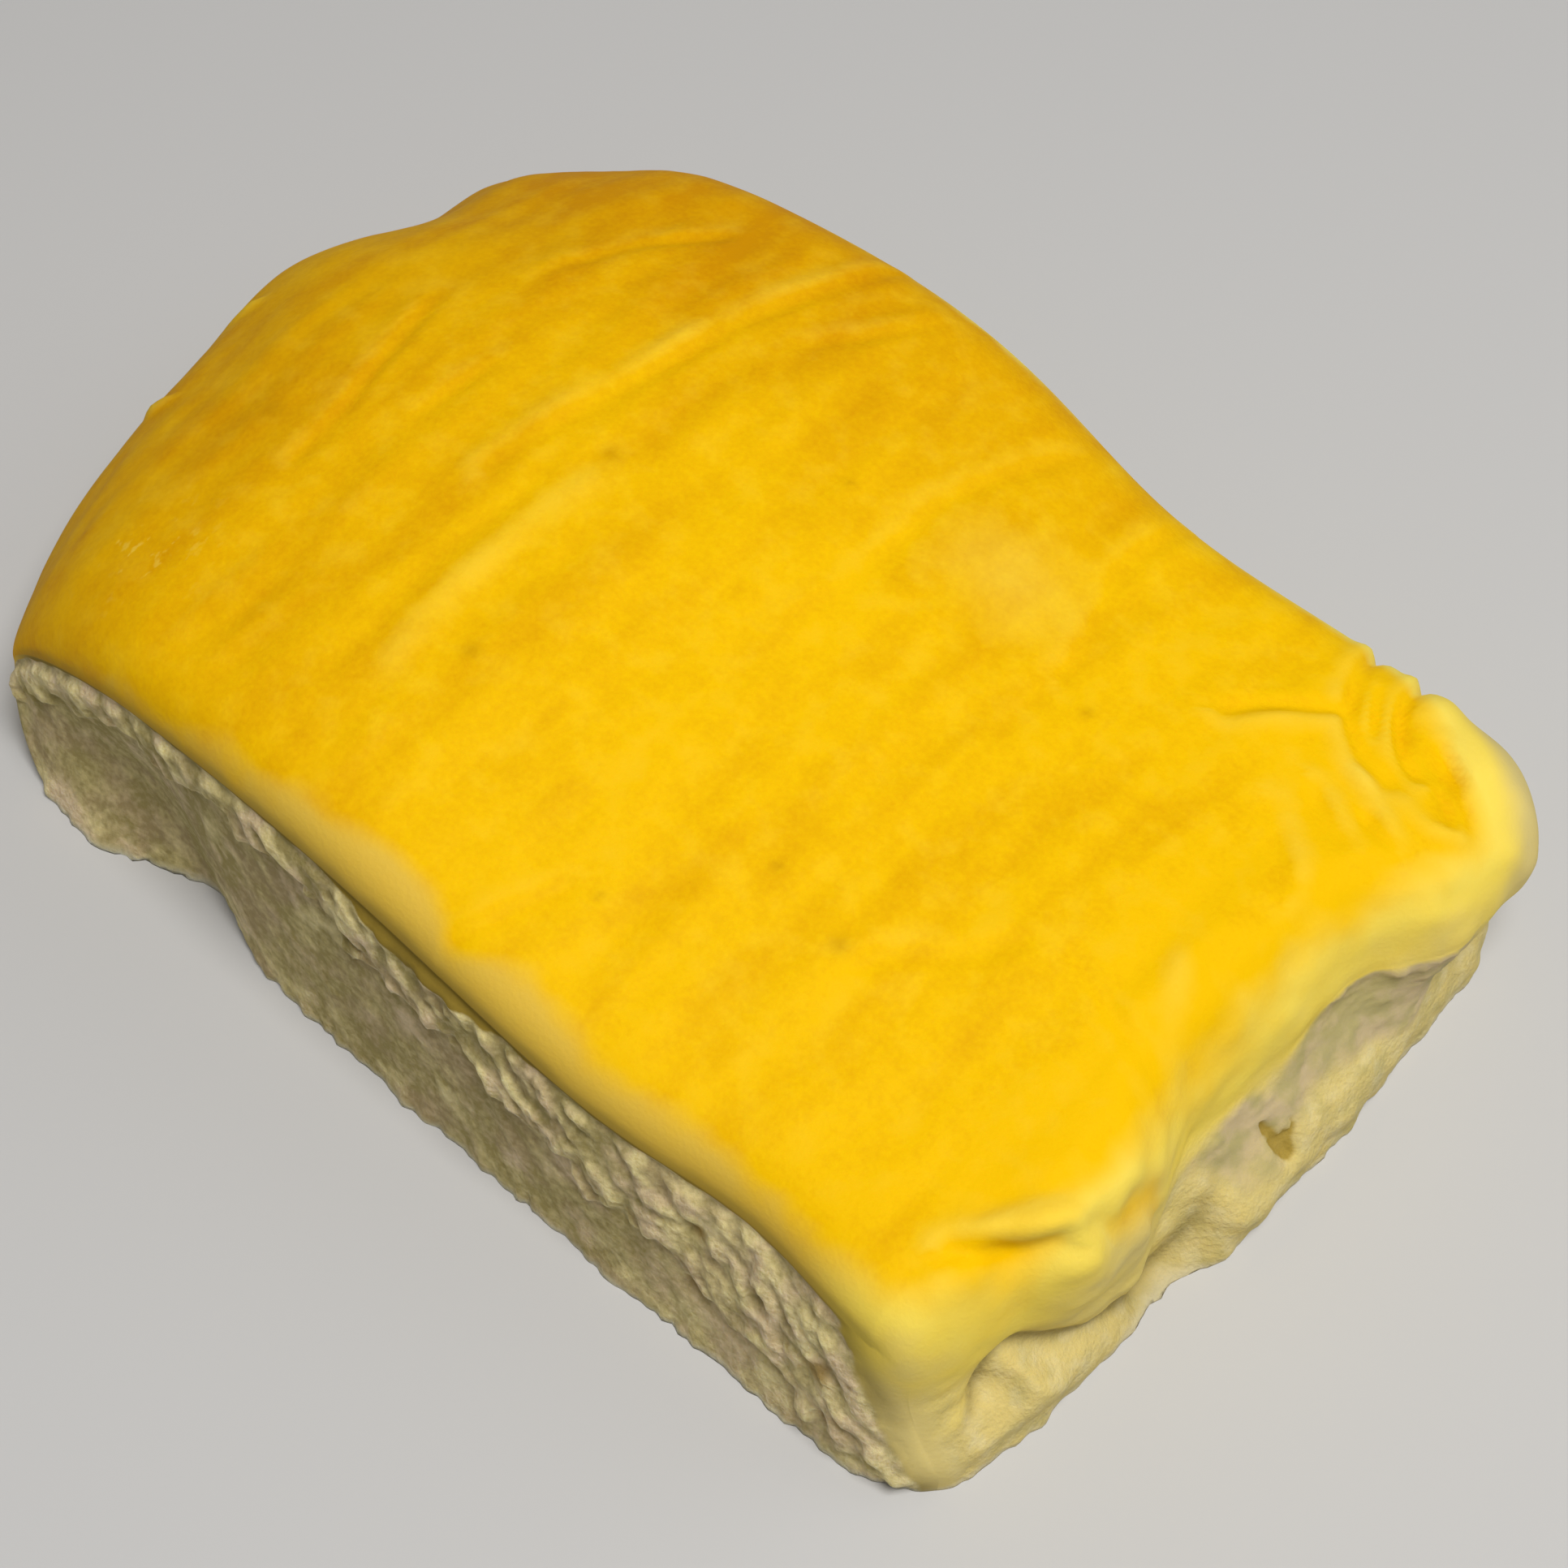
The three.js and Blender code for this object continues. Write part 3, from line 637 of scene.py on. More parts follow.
open_here = np.where(on_open, ease(from_torn, *OPEN_SIDES) * ease(from_far, *OPEN_SIDES), 0)
tear_z = waves(smooth, OPEN_TEAR["waves"], start=z)
tear_low, tear_high, blur = through(y, TEAR_FOOT), through(y, TEAR_TOP), OPEN_TEAR["blur"]
tear_start = tear_low - OPEN_TEAR["blur_foot"]
tear_band = plateau(tear_z, tear_start, tear_low + blur, tear_high - blur, tear_high + blur)
open_torn = open_here * plateau(y, *OPEN_TEAR["y"]) * tear_band
open_grain = lumpy(smooth, TEAR_LUMPS, 60) + TEAR_TUFTS["height"] * tufts(smooth, TEAR_TUFTS["size"], 61)
warp = np.stack([grain(smooth, STAR["warp_size"], seed) for seed in STAR["warp_seeds"]], axis=1)
inside_star = beside_line(smooth[:, 1:] + STAR["warp"] * warp, soft_line(STAR_DENT))[0]
star = open_here * ease(inside_star, *STAR["edge"])
leaf_rags = lumpy(smooth * LEAF_FOOT["stretch"], LEAF_RAGS, 62) + lumpy(smooth, LEAF_NICKS, 66)
leaf_foot = (1 - ease(z, 0, LEAF_FOOT["height"])) * leaf_rags
leaf_swell = waves(smooth, LEAF_SWELLS) * ease(drop, *LEAF_SWELL_DROP)
leaf_creases = np.zeros(len(smooth))
for line, half, depth, lip in LEAF_CREASES:
    leaf_creases[on_open] += crease_relief(smooth[on_open][:, 1:], line, half, depth, lip)
open_relief = OPEN_TEAR["height"] * open_torn * open_grain
open_relief += open_here * (leaf_foot + leaf_swell + leaf_creases) - STAR["depth"] * star
print("open end relief from", open_relief.min().round(2), "to", open_relief.max().round(2), "mm")

# %% [markdown]
# ## Out along the normals
# The three reliefs are heights in millimetres. Each point moves along its own normal by their sum, as a
# Displace modifier would move it, so a lump grows straight out of the skin whichever way that faces.

# %% Push the points out along their normals
facing = np.empty(3 * len(smooth))
bread_mesh.vertex_normals.foreach_get("vector", facing)
facing = facing.reshape(-1, 3)
relief = skin_relief + side_relief + open_relief
shaped = smooth + facing * relief[:, None]
write_points(bread_mesh, shaped)
print("shaped bread in millimetres:", np.ptp(shaped, axis=0).round(1))

# %% [markdown]
# ## Where each finish goes
# The baker's colours do not follow edges of the mesh: gold fades to pale dough along the rims, and skin
# gives way to crumb along a ragged line. Some masks also carry painted shade and painted highlight: the
# olive beneath the skin's torn edge, the seam, the star-shaped hollow, the crumb's small hollows, and
# part of the creases, ridges and pale tufts. So each point stores a few numbers from 0 to 1 as
# attributes, and the material mixes its colours by them. The limit of the gold is one line in plan, round
# the bread from the fold and back to it.

# %% Masks of the gold
GOLD_LIMIT = [
    (-80, -43.5), (-22, -42.6), (-13.3, -41.4), (-6.6, -40.6), (-0.3, -39.7), (4, -39.9), (7.9, -42.2),
    (10, -41.2), (13.8, -39.6), (18.4, -39.6), (22, -40.9), (26, -40.7), (31, -39.6), (37, -38.4),
    (40.6, -39.4), (46, -39.5), (53, -39.4), (56.7, -39), (59.4, -36.5), (61.4, -31.6), (62.8, -26),
    (62.7, -16), (61.8, -7.3), (61.8, 0), (61.6, 6), (62.2, 14), (63, 20), (64.6, 24.2), (66.6, 28.4),
    (66.8, 31.9), (64.5, 34.8), (60.3, 37.5), (55.9, 40.7), (50, 43.6), (36, 43), (20, 43.2), (0, 45.5),
    (-80, 47),
]
GOLD_FADE = [(-80, 1.0), (-5, 1.3), (48, 1.3), (58, 2.2), (64, 2.2), (80, 2.0)]
GOLD_RAGS = 0.7
GOLD_STREAK = dict(line=[(65.0, -20.4), (65.7, -17.2), (65.7, -13.8)], spread=0.7, share=0.45)
PALE_PATCH = dict(x=17.5, y=22, spread_x=7, spread_y=5, share=0.24)
FOLD_GOLD = dict(rags=2, z=(4, 13), reach=(0, 5))
BEIGE_ZONE = dict(y=(-36, -33), x=(46, 56))
SCUFF = dict(x=-44, y=-32, spread=6)
SPECKS = [
    (-16.7, 3.9, 0.9), (32.3, 15.8, 0.7), (32.2, -18.9, 1.0), (0.7, 18.2, 0.5), (-46, -12.6, 1.2),
    (-10.4, -21, 0.9), (23.3, -17.1, 0.6), (14, -30, 0.5),
]
RAGS = [(1.0, 5, 70), (0.5, 2, 72)]

ragged = waves(smooth, RAGS)
inside_limit = beside_line(smooth[:, :2], soft_line(GOLD_LIMIT))[0]
fade = through(x, GOLD_FADE)
patch = bump(x, PALE_PATCH["x"], PALE_PATCH["spread_x"])
patch = patch * bump(y, PALE_PATCH["y"], PALE_PATCH["spread_y"])
streak = bump(beside_line(smooth[:, :2], soft_line(GOLD_STREAK["line"]))[0], 0, GOLD_STREAK["spread"])
gold_top = ease(inside_limit + GOLD_RAGS * ragged, -fade, fade) - PALE_PATCH["share"] * patch
gold_top = gold_top + GOLD_STREAK["share"] * streak
on_fold = (u < -ON_FACE) & ~on_skin
gold_side = ease(z + FOLD_GOLD["rags"] * ragged, *FOLD_GOLD["z"])
gold_side = np.where(on_fold | on_far, gold_side * (1 - ease(from_fold, *FOLD_GOLD["reach"])), 0)
beige = (1 - ease(y, *BEIGE_ZONE["y"])) * (1 - ease(x, *BEIGE_ZONE["x"]))
scuff = bump(np.hypot(x - SCUFF["x"], y - SCUFF["y"]), 0, SCUFF["spread"])
specks = sum(bump(np.hypot(x - at_x, y - at_y), 0, size) for at_x, at_y, size in SPECKS)
print("gold share of the skin:", gold_top[on_skin].mean().round(2))

# %% Masks of the torn sides and their rims
SKIN_EDGE = dict(width=0.7, swell=1.8, x=4, spread=9, waves=[(0.4, 3, 71)], blur=0.4)
NOSE_TEAR = dict(rags=0.8, reach=(0.8, 2.0))
# Sizes of the olive painted shade along the torn rims, where the skin rolls down and away from the light
RIM_TOP_SHADE = dict(share=0.5, rags=0.5, rise=(0.4, 2.6), far_lift=60)
RIM_SIDE_SHADE = dict(open_share=0.75, x=(20, 50), fold=(0, 6))
LOW_CORNER = dict(rags=1.2, z=(8, 14))
RIM_END = dict(torn=(-1.5, 3.5), top=(0.5, 6))
FOLD_RAG = dict(below=2.6, spread=1.3, x=(-44, -36))
FOLD_FOOT = dict(share=1.3, x=-46, spread=5, z=(2, 5))
FOOT_EDGE = dict(rags=0.3, z=(0.2, 1.1))

below_rim = rim - z
edge = SKIN_EDGE["width"] + SKIN_EDGE["swell"] * bump(x, SKIN_EDGE["x"], SKIN_EDGE["spread"])
edge = waves(smooth, SKIN_EDGE["waves"], start=edge)
torn = (torn_here + far_here) * ease(below_rim, edge - SKIN_EDGE["blur"], edge + SKIN_EDGE["blur"])
nose_torn = 1 - ease(from_torn + NOSE_TEAR["rags"] * ragged, *NOSE_TEAR["reach"])
# Painted shade: olive where the skin's roll turns down along the torn sides and on the strip of skin
# below it, a little less towards the open end
far_rise = FAR_ROLL["drop"] * far_up + RIM_TOP_SHADE["far_lift"] * ease(x, *FAR_SKIN["limit"])
rise = np.minimum(TORN_ROLL["drop"] * torn_up, far_rise)
rim_top_shade = RIM_TOP_SHADE["share"] * (1 - ease(rise + RIM_TOP_SHADE["rags"] * ragged, *RIM_TOP_SHADE["rise"]))
rim_side_shade = mix(1, RIM_SIDE_SHADE["open_share"], ease(x, *RIM_SIDE_SHADE["x"]))
rim_shade = np.where(on_torn | on_far, rim_side_shade, rim_top_shade) * ease(from_fold, *RIM_SIDE_SHADE["fold"])
rim_shade = rim_shade * np.where(on_far, far_here, 1)
low_corner = past_corner * (1 - ease(z + LOW_CORNER["rags"] * ragged, *LOW_CORNER["z"]))
past_corner_edge = ease(x - corner_edge, *RIM_END["torn"])
past_edge = np.where(on_torn, past_corner_edge, 1 - ease(from_open, *RIM_END["top"]))
fold_rag = bump(below_rim, FOLD_RAG["below"], FOLD_RAG["spread"]) * (1 - ease(x, *FOLD_RAG["x"]))
fold_foot = FOLD_FOOT["share"] * bump(x, FOLD_FOOT["x"], FOLD_FOOT["spread"])
fold_foot = fold_foot * (1 - ease(z, *FOLD_FOOT["z"]))
near_flakes_and_highlights = np.maximum.reduce([near_flakes_and_highlights, fold_rag, fold_foot])
foot_edge = 1 - ease(z + FOOT_EDGE["rags"] * ragged, *FOOT_EDGE["z"])
print("torn share of the near side:", torn[on_torn].mean().round(2))

# %% Masks of the open end
CREAMY = dict(share=0.4, near=(-36, -31, -10, -5), far=(22, 32))
LIP_CREAM = dict(rags=0.6, inside=(-5.5, -1.5), x=(53, 60))
UPPER_LEAF = dict(above=(0, 1.5), y=(-42, -35, -14, -6))
END_CREAM = dict(less=0.35, drop=(0, 0.4))
END_LEAF = dict(less=0.8, drop=(0.03, 0.35))
# Painted shade on the upper leaf just above the seam, and a painted shadow of the lip on the lower leaf
# at the seam's foot
SEAM_SHADE = dict(at=0.3, spread=0.6)
SEAM_FOOT_SHADOW = dict(share=0.4, y=-15, spread=6, z=(1.5, 4))

creamy = CREAMY["share"] * plateau(y, *CREAMY["near"]) - CREAMY["share"] * ease(y, *CREAMY["far"])
lip_cream = 1 - ease(inside_limit + LIP_CREAM["rags"] * ragged - creamy, *LIP_CREAM["inside"])
lip_cream = lip_cream * ease(x, *LIP_CREAM["x"])
above_seam = beside_line(np.stack([plan_y * PAD_WIDTH / 2, z], axis=1), soft_line(SEAM_LINE))[0]
upper_leaf = ease(above_seam, *UPPER_LEAF["above"]) * plateau(y, *UPPER_LEAF["y"])
end_cream = mix(lip_cream, 1 - END_CREAM["less"] * upper_leaf, ease(drop, *END_CREAM["drop"]))
end_leaf = open_here * (1 - open_torn) * ease(drop, *END_LEAF["drop"])
end_leaf = end_leaf * (1 - END_LEAF["less"] * upper_leaf)
# The seam's painted shade is deeper where the seam is deeper; the foot patch is the lip's painted shadow
seam_shade = bump(above_seam, SEAM_SHADE["at"], SEAM_SHADE["spread"]) * through(plan_y, SEAM_DEPTH)
seam_foot_shadow = SEAM_FOOT_SHADOW["share"] * bump(y, SEAM_FOOT_SHADOW["y"], SEAM_FOOT_SHADOW["spread"])
seam_shade = seam_shade + seam_foot_shadow * (1 - ease(z, *SEAM_FOOT_SHADOW["z"]))
print("cream share of the open end:", end_cream[on_open].mean().round(2))

# %% Store the masks
CREASE_FULL = 0.9
RIDGE_FULL = 0.8

masks = {
    "gold": np.where(on_skin, gold_top, gold_side),
    "beige": beige,
    "cream": end_cream,
    # painted shade above the seam and the lip's painted shadow below it
    "seam": np.where(on_open, seam_shade, 0),
    # painted shade: olive where the skin rolls away beneath its torn edge
    "rim_under_shade": rim_shade * (1 - past_edge) * (1 - low_corner),
    "torn": np.maximum(torn, np.where(on_fold, nose_torn, 0)),
    "open_torn": open_torn,
    "leaf": end_leaf,
    # partly real pale flakes, partly painted highlight on the tufts and the upper band
    "flake_and_highlight": torn_here * near_flakes_and_highlights + far_here * far_flakes_and_highlights,
    "foot": np.where(on_skin, 0, foot_edge),
    # painted shade in the crumb's small hollows
    "pit_shade": torn_here * pits,
    # painted shade in the star-shaped hollow
    "dent_shade": star,
    # partly the amber of the creases, partly painted shade in them
    "crease": -creases / CREASE_FULL,
    # partly paler stretched dough on the ridges, partly painted highlight on them
    "ridge": creases / RIDGE_FULL,
    "scuff": np.where(on_skin, scuff, 0),
    "speck": np.where(on_skin, specks, 0),
}
masks = {name: np.clip(values, 0, 1) for name, values in masks.items()}
for name, values in masks.items():
    layer = bread_mesh.attributes.new(name, "FLOAT", "POINT")
    layer.data.foreach_set("value", values)
print({name: round(float(values.mean()), 2) for name, values in masks.items()})

# %% [markdown]
# ## Flat base
# The bread was baked standing on a flat tin. The knife cut of bisect_plane takes off what hangs below
# the ground, and the open rim that is left becomes one flat face, so the bread closes and stands as the
# packed solid does. Up to here all sizes were millimetres, so the mesh is scaled to metres as well.

# %% Cut and close the base
GROUND = dict(plane_co=(0, 0, 0), plane_no=(0, 0, 1), dist=0.001)


def close_base(mesh):
    dough = bmesh.new()
    dough.from_mesh(mesh)
    everything = dough.verts[:] + dough.edges[:] + dough.faces[:]
    bmesh.ops.bisect_plane(dough, geom=everything, clear_inner=True, **GROUND)
    rim_edges = [edge for edge in dough.edges if edge.is_boundary]
    base = bmesh.ops.contextual_create(dough, geom=rim_edges)["faces"]
    bmesh.ops.recalc_face_normals(dough, faces=dough.faces)
    for face in dough.faces:
        face.smooth = face not in base
        face.material_index = 1 if face in base else 0
    bmesh.ops.scale(dough, vec=(MM, MM, MM), verts=dough.verts)
    dough.to_mesh(mesh)
    dough.free()
    return len(base)


print("base faces:", close_base(bread_mesh))
bread = bpy.data.objects.new("bread_body", bread_mesh)
bpy.context.scene.collection.objects.link(bread)

# %% [markdown]
# ## Shader maths as Python
# A material is a graph of small nodes. Wiring each sum by hand is slow to read, so this class wraps the
# output of a node: adding or multiplying two of them makes the Math node that does it. One method makes
# any other node from its type, its settings and what goes into its sockets.

# %% A class for shader values
class Shade:
    def __init__(self, tree, socket):
        self.tree = tree
        self.socket = socket

    def node(self, kind, settings=None, inputs=None, output=0):
        made = self.tree.nodes.new(kind)
        for name, value in (settings or {}).items():
            setattr(made, name, value)
        for name, value in (inputs or {}).items():
            if isinstance(value, Shade):
                self.tree.links.new(value.socket, made.inputs[name])
            else:
                made.inputs[name].default_value = value
        return Shade(self.tree, made.outputs[output] if made.outputs else None)

    def math(self, operation, first, second):
        return self.node("ShaderNodeMath", {"operation": operation}, {0: first, 1: second})

    def __add__(self, other):
        return self.math("ADD", self, other)

    def __radd__(self, other):
        return self.math("ADD", other, self)

    def __sub__(self, other):
        return self.math("SUBTRACT", self, other)

    def __rsub__(self, other):
        return self.math("SUBTRACT", other, self)

    def __mul__(self, other):
        return self.math("MULTIPLY", self, other)

    def __rmul__(self, other):
        return self.math("MULTIPLY", other, self)


print("operators of a shader value:", [name for name in vars(Shade) if name.startswith("__r")])

# %% Words for common nodes
MIX_SOCKETS = dict(share=0, first=6, second=7, colour=2)


def attribute(shade, name):
    return shade.node("ShaderNodeAttribute", {"attribute_name": name}, output="Fac")


def object_place(shade, stretch=(1, 1, 1)):
    place = shade.node("ShaderNodeTexCoord", output="Object")
    return shade.node("ShaderNodeMapping", {}, {"Vector": place, "Scale": stretch})


def noise(shade, size, detail, stretch=(1, 1, 1)):
    sockets = {"Vector": object_place(shade, stretch), "Scale": 1 / (size * MM), "Detail": detail}
    return shade.node("ShaderNodeTexNoise", {}, sockets)


def between(value, low, high):
    limits = {"Value": value, "From Min": low, "From Max": high}
    return value.node("ShaderNodeMapRange", {"interpolation_type": "SMOOTHSTEP"}, limits)


def blotches(shade, size, detail, low, high, stretch=(1, 1, 1)):
    return between(noise(shade, size, detail, stretch), low, high)


def tint(share, first, second):
    sockets = {MIX_SOCKETS["share"]: share, MIX_SOCKETS["first"]: first, MIX_SOCKETS["second"]: second}
    return share.node("ShaderNodeMix", {"data_type": "RGBA"}, sockets, MIX_SOCKETS["colour"])


def bumps(height, distance, strength):
    sockets = {"Height": height, "Distance": distance * MM, "Strength": strength}
    return height.node("ShaderNodeBump", {}, sockets)


def empty_material(name):
    material = bpy.data.materials.new(name)
    material.use_nodes = True
    material.node_tree.nodes.clear()
    return material, Shade(material.node_tree, None)


bread_finish, bread_shade = empty_material("bread_finish")
base_finish, base_shade = empty_material("base_finish")
for material in (bread_finish, base_finish):
    bread_mesh.materials.append(material)
print("empty materials:", [material.name for material in bread_mesh.materials])

# %% [markdown]
# ## Colour of the skin
# The skin of a coco bread is a clear, warm yellow, more amber over the fold where the oven caught it and
# lemon towards the open end, with faint streaks along the wrinkles. That amber over the fold and the far
# side is partly painted shade, and the lemon at the open end partly painted light, as those parts face
# away from the light or towards it. Where it was shielded it stays pale dough. The gold and the pale
# dough come first, and the other tones go over them one by one, each by its own mask, as glazes go over a
# painting. The glazes at the seam, in the star-shaped hollow and beneath the torn edge are painted shade.

# %% Mix the colours of the skin
LEMON = (0.92, 0.54, 0.001, 1)
AMBER = (0.68, 0.298, 0.001, 1)
PALE_DOUGH = (0.96, 0.72, 0.10, 1)
BEIGE_DOUGH = (0.80, 0.52, 0.065, 1)
CREAM = (0.69, 0.55, 0.20, 1)
LEAF_GREEN = (0.47, 0.40, 0.15, 1)
LEAF_PALE = (0.80, 0.70, 0.40, 1)
# Painted shade at the seam and painted shadow of the lip on the lower leaf
SEAM_SHADE_BROWN = (0.17, 0.12, 0.03, 1)
MAUVE = (0.55, 0.43, 0.25, 1)
OLIVE_GREY = (0.42, 0.36, 0.16, 1)
# Painted shade in the star-shaped hollow of the open end
DENT_SHADE_OLIVE = (0.36, 0.24, 0.03, 1)
FOOT_PALE = (0.62, 0.55, 0.37, 1)
# Olive painted shade for the skin where it rolls away at the torn rims
UNDER_SHADE_OLIVE = (0.18, 0.127, 0.022, 1)
SPECK_BROWN = (0.45, 0.2, 0.002, 1)
# Amber towards the fold and the far side is partly real bake and partly painted shade; the lemon at the
# open end is partly painted light
FOLD_BAKE_AND_SHADE = (-0.02, 0.07)
FAR_BAKE_AND_SHADE = dict(y=(0.005, 0.05), x=(-0.045, 0.0))
OPEN_END_LEMON_AND_LIGHT = (0.045, 0.06)
ACROSS = (1.6, 0.45, 1)
# Creases are painted more amber and ridges paler: partly the dough's own tone, partly painted shade and
# highlight that make the low relief show
AMBER_BY = dict(
    fold=0.5, far=0.5, streaks=0.35, open=0.2, mottle=0.6, speckle=0.5, crease=0.15, ridge=0.5,
)
GOLD_BY = dict(mottle=0.25, ridge=0.45, crease=0.3, scuff=0.4)


def bake_and_shade_share(shade, mottle, crease, ridge):
    place = object_place(shade)
    along_x = shade.node("ShaderNodeSeparateXYZ", {}, {"Vector": place}, "X")
    along_y = shade.node("ShaderNodeSeparateXYZ", {}, {"Vector": place}, "Y")
    towards_far = between(along_y, *FAR_BAKE_AND_SHADE["y"]) * between(0 - along_x, *FAR_BAKE_AND_SHADE["x"])
    amber_share = between(0 - along_x, *FOLD_BAKE_AND_SHADE) * AMBER_BY["fold"] + towards_far * AMBER_BY["far"]
    amber_share = amber_share + blotches(shade, 9, 4, 0.4, 0.75, ACROSS) * AMBER_BY["streaks"]
    amber_share = amber_share - between(along_x, *OPEN_END_LEMON_AND_LIGHT) * AMBER_BY["open"]
    amber_share = amber_share + mottle * AMBER_BY["mottle"] + (noise(shade, 0.6, 2) - 0.5) * AMBER_BY["speckle"]
    return amber_share + crease * AMBER_BY["crease"] - ridge * AMBER_BY["ridge"]


def skin_colour(shade):
    mottle = noise(shade, 3.2, 4) - 0.5
    crease, ridge = attribute(shade, "crease"), attribute(shade, "ridge")
    gold = tint(bake_and_shade_share(shade, mottle, crease, ridge), LEMON, AMBER)
    pale = tint(attribute(shade, "beige"), PALE_DOUGH, BEIGE_DOUGH)
    pale = tint(attribute(shade, "cream"), pale, CREAM)
    golden = attribute(shade, "gold") + mottle * GOLD_BY["mottle"] - ridge * GOLD_BY["ridge"]
    golden = golden + crease * GOLD_BY["crease"]
    scuffed = attribute(shade, "scuff") * blotches(shade, 1.1, 3, 0.58, 0.68, (1, 0.5, 1))
    skin = tint(golden - scuffed * GOLD_BY["scuff"], pale, gold)
    leaf = attribute(shade, "leaf")
    torn_dough = tint(blotches(shade, 3.5, 4, 0.4, 0.65), MAUVE, OLIVE_GREY)
    glazes = [
        (leaf * blotches(shade, 4, 4, 0.45, 0.7) * 0.6, LEAF_GREEN),
        (leaf * blotches(shade, 2.2, 5, 0.4, 0.75) * 0.45, LEAF_PALE),
        # painted shade at the seam
        (attribute(shade, "seam") * 0.6, SEAM_SHADE_BROWN),
        (attribute(shade, "open_torn") * 0.9, torn_dough),
        # painted shade in the star-shaped hollow
        (between(attribute(shade, "dent_shade"), 0.2, 0.7) * 0.85, DENT_SHADE_OLIVE),
        (attribute(shade, "foot") * 0.6, FOOT_PALE),
        # painted shade along the torn rims
        (attribute(shade, "rim_under_shade") * 0.85, UNDER_SHADE_OLIVE),
        (attribute(shade, "speck") * 0.4, SPECK_BROWN),
    ]
    for share, colour in glazes:
        skin = tint(share, skin, colour)
    return skin


skin_tone = skin_colour(bread_shade)
print("nodes for the skin's colour:", len(bread_finish.node_tree.nodes))

# %% [markdown]
# ## Colour of the crumb
# Torn crumb is a dull cream, painted somewhat darker as shade for the torn side that lies away from the
# light, with paler flakes where the tufts stand up, partly real and partly a painted highlight. The small
# hollows are painted brown as shade. The flake mask came from the same noise as the relief, so the pale
# colour sits on the tufts, and finer noise breaks it up into flecks that the mesh is too coarse to hold.

# %% Mix the colours of the crumb
# The dull crumb tones are darker than fresh crumb: partly the crumb's own tone, partly painted shade for
# the torn side away from the light
CRUMB_DULL_SHADED = (0.34, 0.275, 0.105, 1)
CRUMB_WARM_SHADED = (0.36, 0.275, 0.13, 1)
CRUMB_PALE = (0.80, 0.67, 0.33, 1)
CRUMB_PINK = (0.76, 0.59, 0.36, 1)
# Painted shade for the crumb's small hollows
CRUMB_HOLLOW_SHADE = (0.30, 0.17, 0.03, 1)
PALE_BY = dict(flake_and_highlight=0.75, blotches=0.3, flecks=1.2)


def crumb_colour(shade):
    shaded_dull = tint(blotches(shade, 6, 3, 0.45, 0.62), CRUMB_DULL_SHADED, CRUMB_WARM_SHADED)
    light = tint(blotches(shade, 4.5, 3, 0.42, 0.62), CRUMB_PALE, CRUMB_PINK)
    # paler where flakes stand and where the highlight is painted
    flaky = attribute(shade, "flake_and_highlight") * PALE_BY["flake_and_highlight"]
    flaky = flaky + blotches(shade, 3.5, 5, 0.35, 0.75) * PALE_BY["blotches"]
    flaky = flaky + (noise(shade, 0.8, 3) - 0.5) * PALE_BY["flecks"]
    colour = tint(attribute(shade, "foot") * 0.7, tint(flaky, shaded_dull, light), FOOT_PALE)
    # the small hollows get their painted shade last
    return tint(between(attribute(shade, "pit_shade"), 0.25, 0.8) * 0.75, colour, CRUMB_HOLLOW_SHADE)


crumb_tone = crumb_colour(bread_shade)
print("nodes with the crumb's colour:", len(bread_finish.node_tree.nodes))

# %% [markdown]
# ## Skin and crumb in one material
# Two materials on two sets of faces would meet in a staircase of quads. Here two shaders share one
# material, and the torn mask mixes them along its ragged line. Both let some light in and out again
# beside it, which is the subsurface part: a little in the skin, much more in the airy crumb.

# %% Join skin and crumb
def bread_surface(shade):
    pores = noise(shade, 0.5, 2) * (1 + attribute(shade, "leaf") * 3)
    skin = shade.node("ShaderNodeBsdfPrincipled", {}, {
        "Base Color": skin_tone,
        "Roughness": 0.5 + 0.15 * noise(shade, 1.5, 3),
        "Specular IOR Level": 0.03,
        "Subsurface Weight": 0.15,
        "Subsurface Radius": (0.0012, 0.001, 0.0004),
        "Subsurface Scale": 1.0,
        "Normal": bumps(pores, 0.08, 0.6),
    })
    fluff = (noise(shade, 0.9, 3) + 0.5 * noise(shade, 0.4, 2)) * (0.4 + 0.6 * attribute(shade, "flake_and_highlight"))
    crumb = shade.node("ShaderNodeBsdfPrincipled", {}, {
        "Base Color": crumb_tone,
        "Roughness": 0.9,
        "Specular IOR Level": 0.05,
        "Subsurface Weight": 0.75,
        "Subsurface Radius": (0.0015, 0.0013, 0.0008),
        "Subsurface Scale": 1.0,
        "Normal": bumps(fluff, 0.5, 0.8),
    })
    crumbly = between(attribute(shade, "torn"), 0.3, 0.7)
    return shade.node("ShaderNodeMixShader", {}, {0: crumbly, 1: skin, 2: crumb})


bread_shade.node("ShaderNodeOutputMaterial", {}, {"Surface": bread_surface(bread_shade)})
print("nodes of the bread's finish:", len(bread_finish.node_tree.nodes))

# %% [markdown]
# ## Browned base
# The underside lay on the hot tin, so it is a drier and browner crust. Two sizes of noise added together
# give large scorched patches with small breaks in them.

# %% Brown the base
BASE_TAN = (0.62, 0.40, 0.16, 1)
BASE_BROWN = (0.42, 0.22, 0.06, 1)

browned = between(noise(base_shade, 14, 5) + 0.4 * noise(base_shade, 2, 3), 0.5, 0.95)
base_crust = base_shade.node("ShaderNodeBsdfPrincipled", {}, {
    "Base Color": tint(browned, BASE_TAN, BASE_BROWN),
    "Roughness": 0.8,
    "Specular IOR Level": 0.05,
    "Normal": bumps(noise(base_shade, 1.2, 4), 0.3, 0.7),
})
base_shade.node("ShaderNodeOutputMaterial", {}, {"Surface": base_crust})
print("nodes of the base's finish:", len(base_finish.node_tree.nodes))

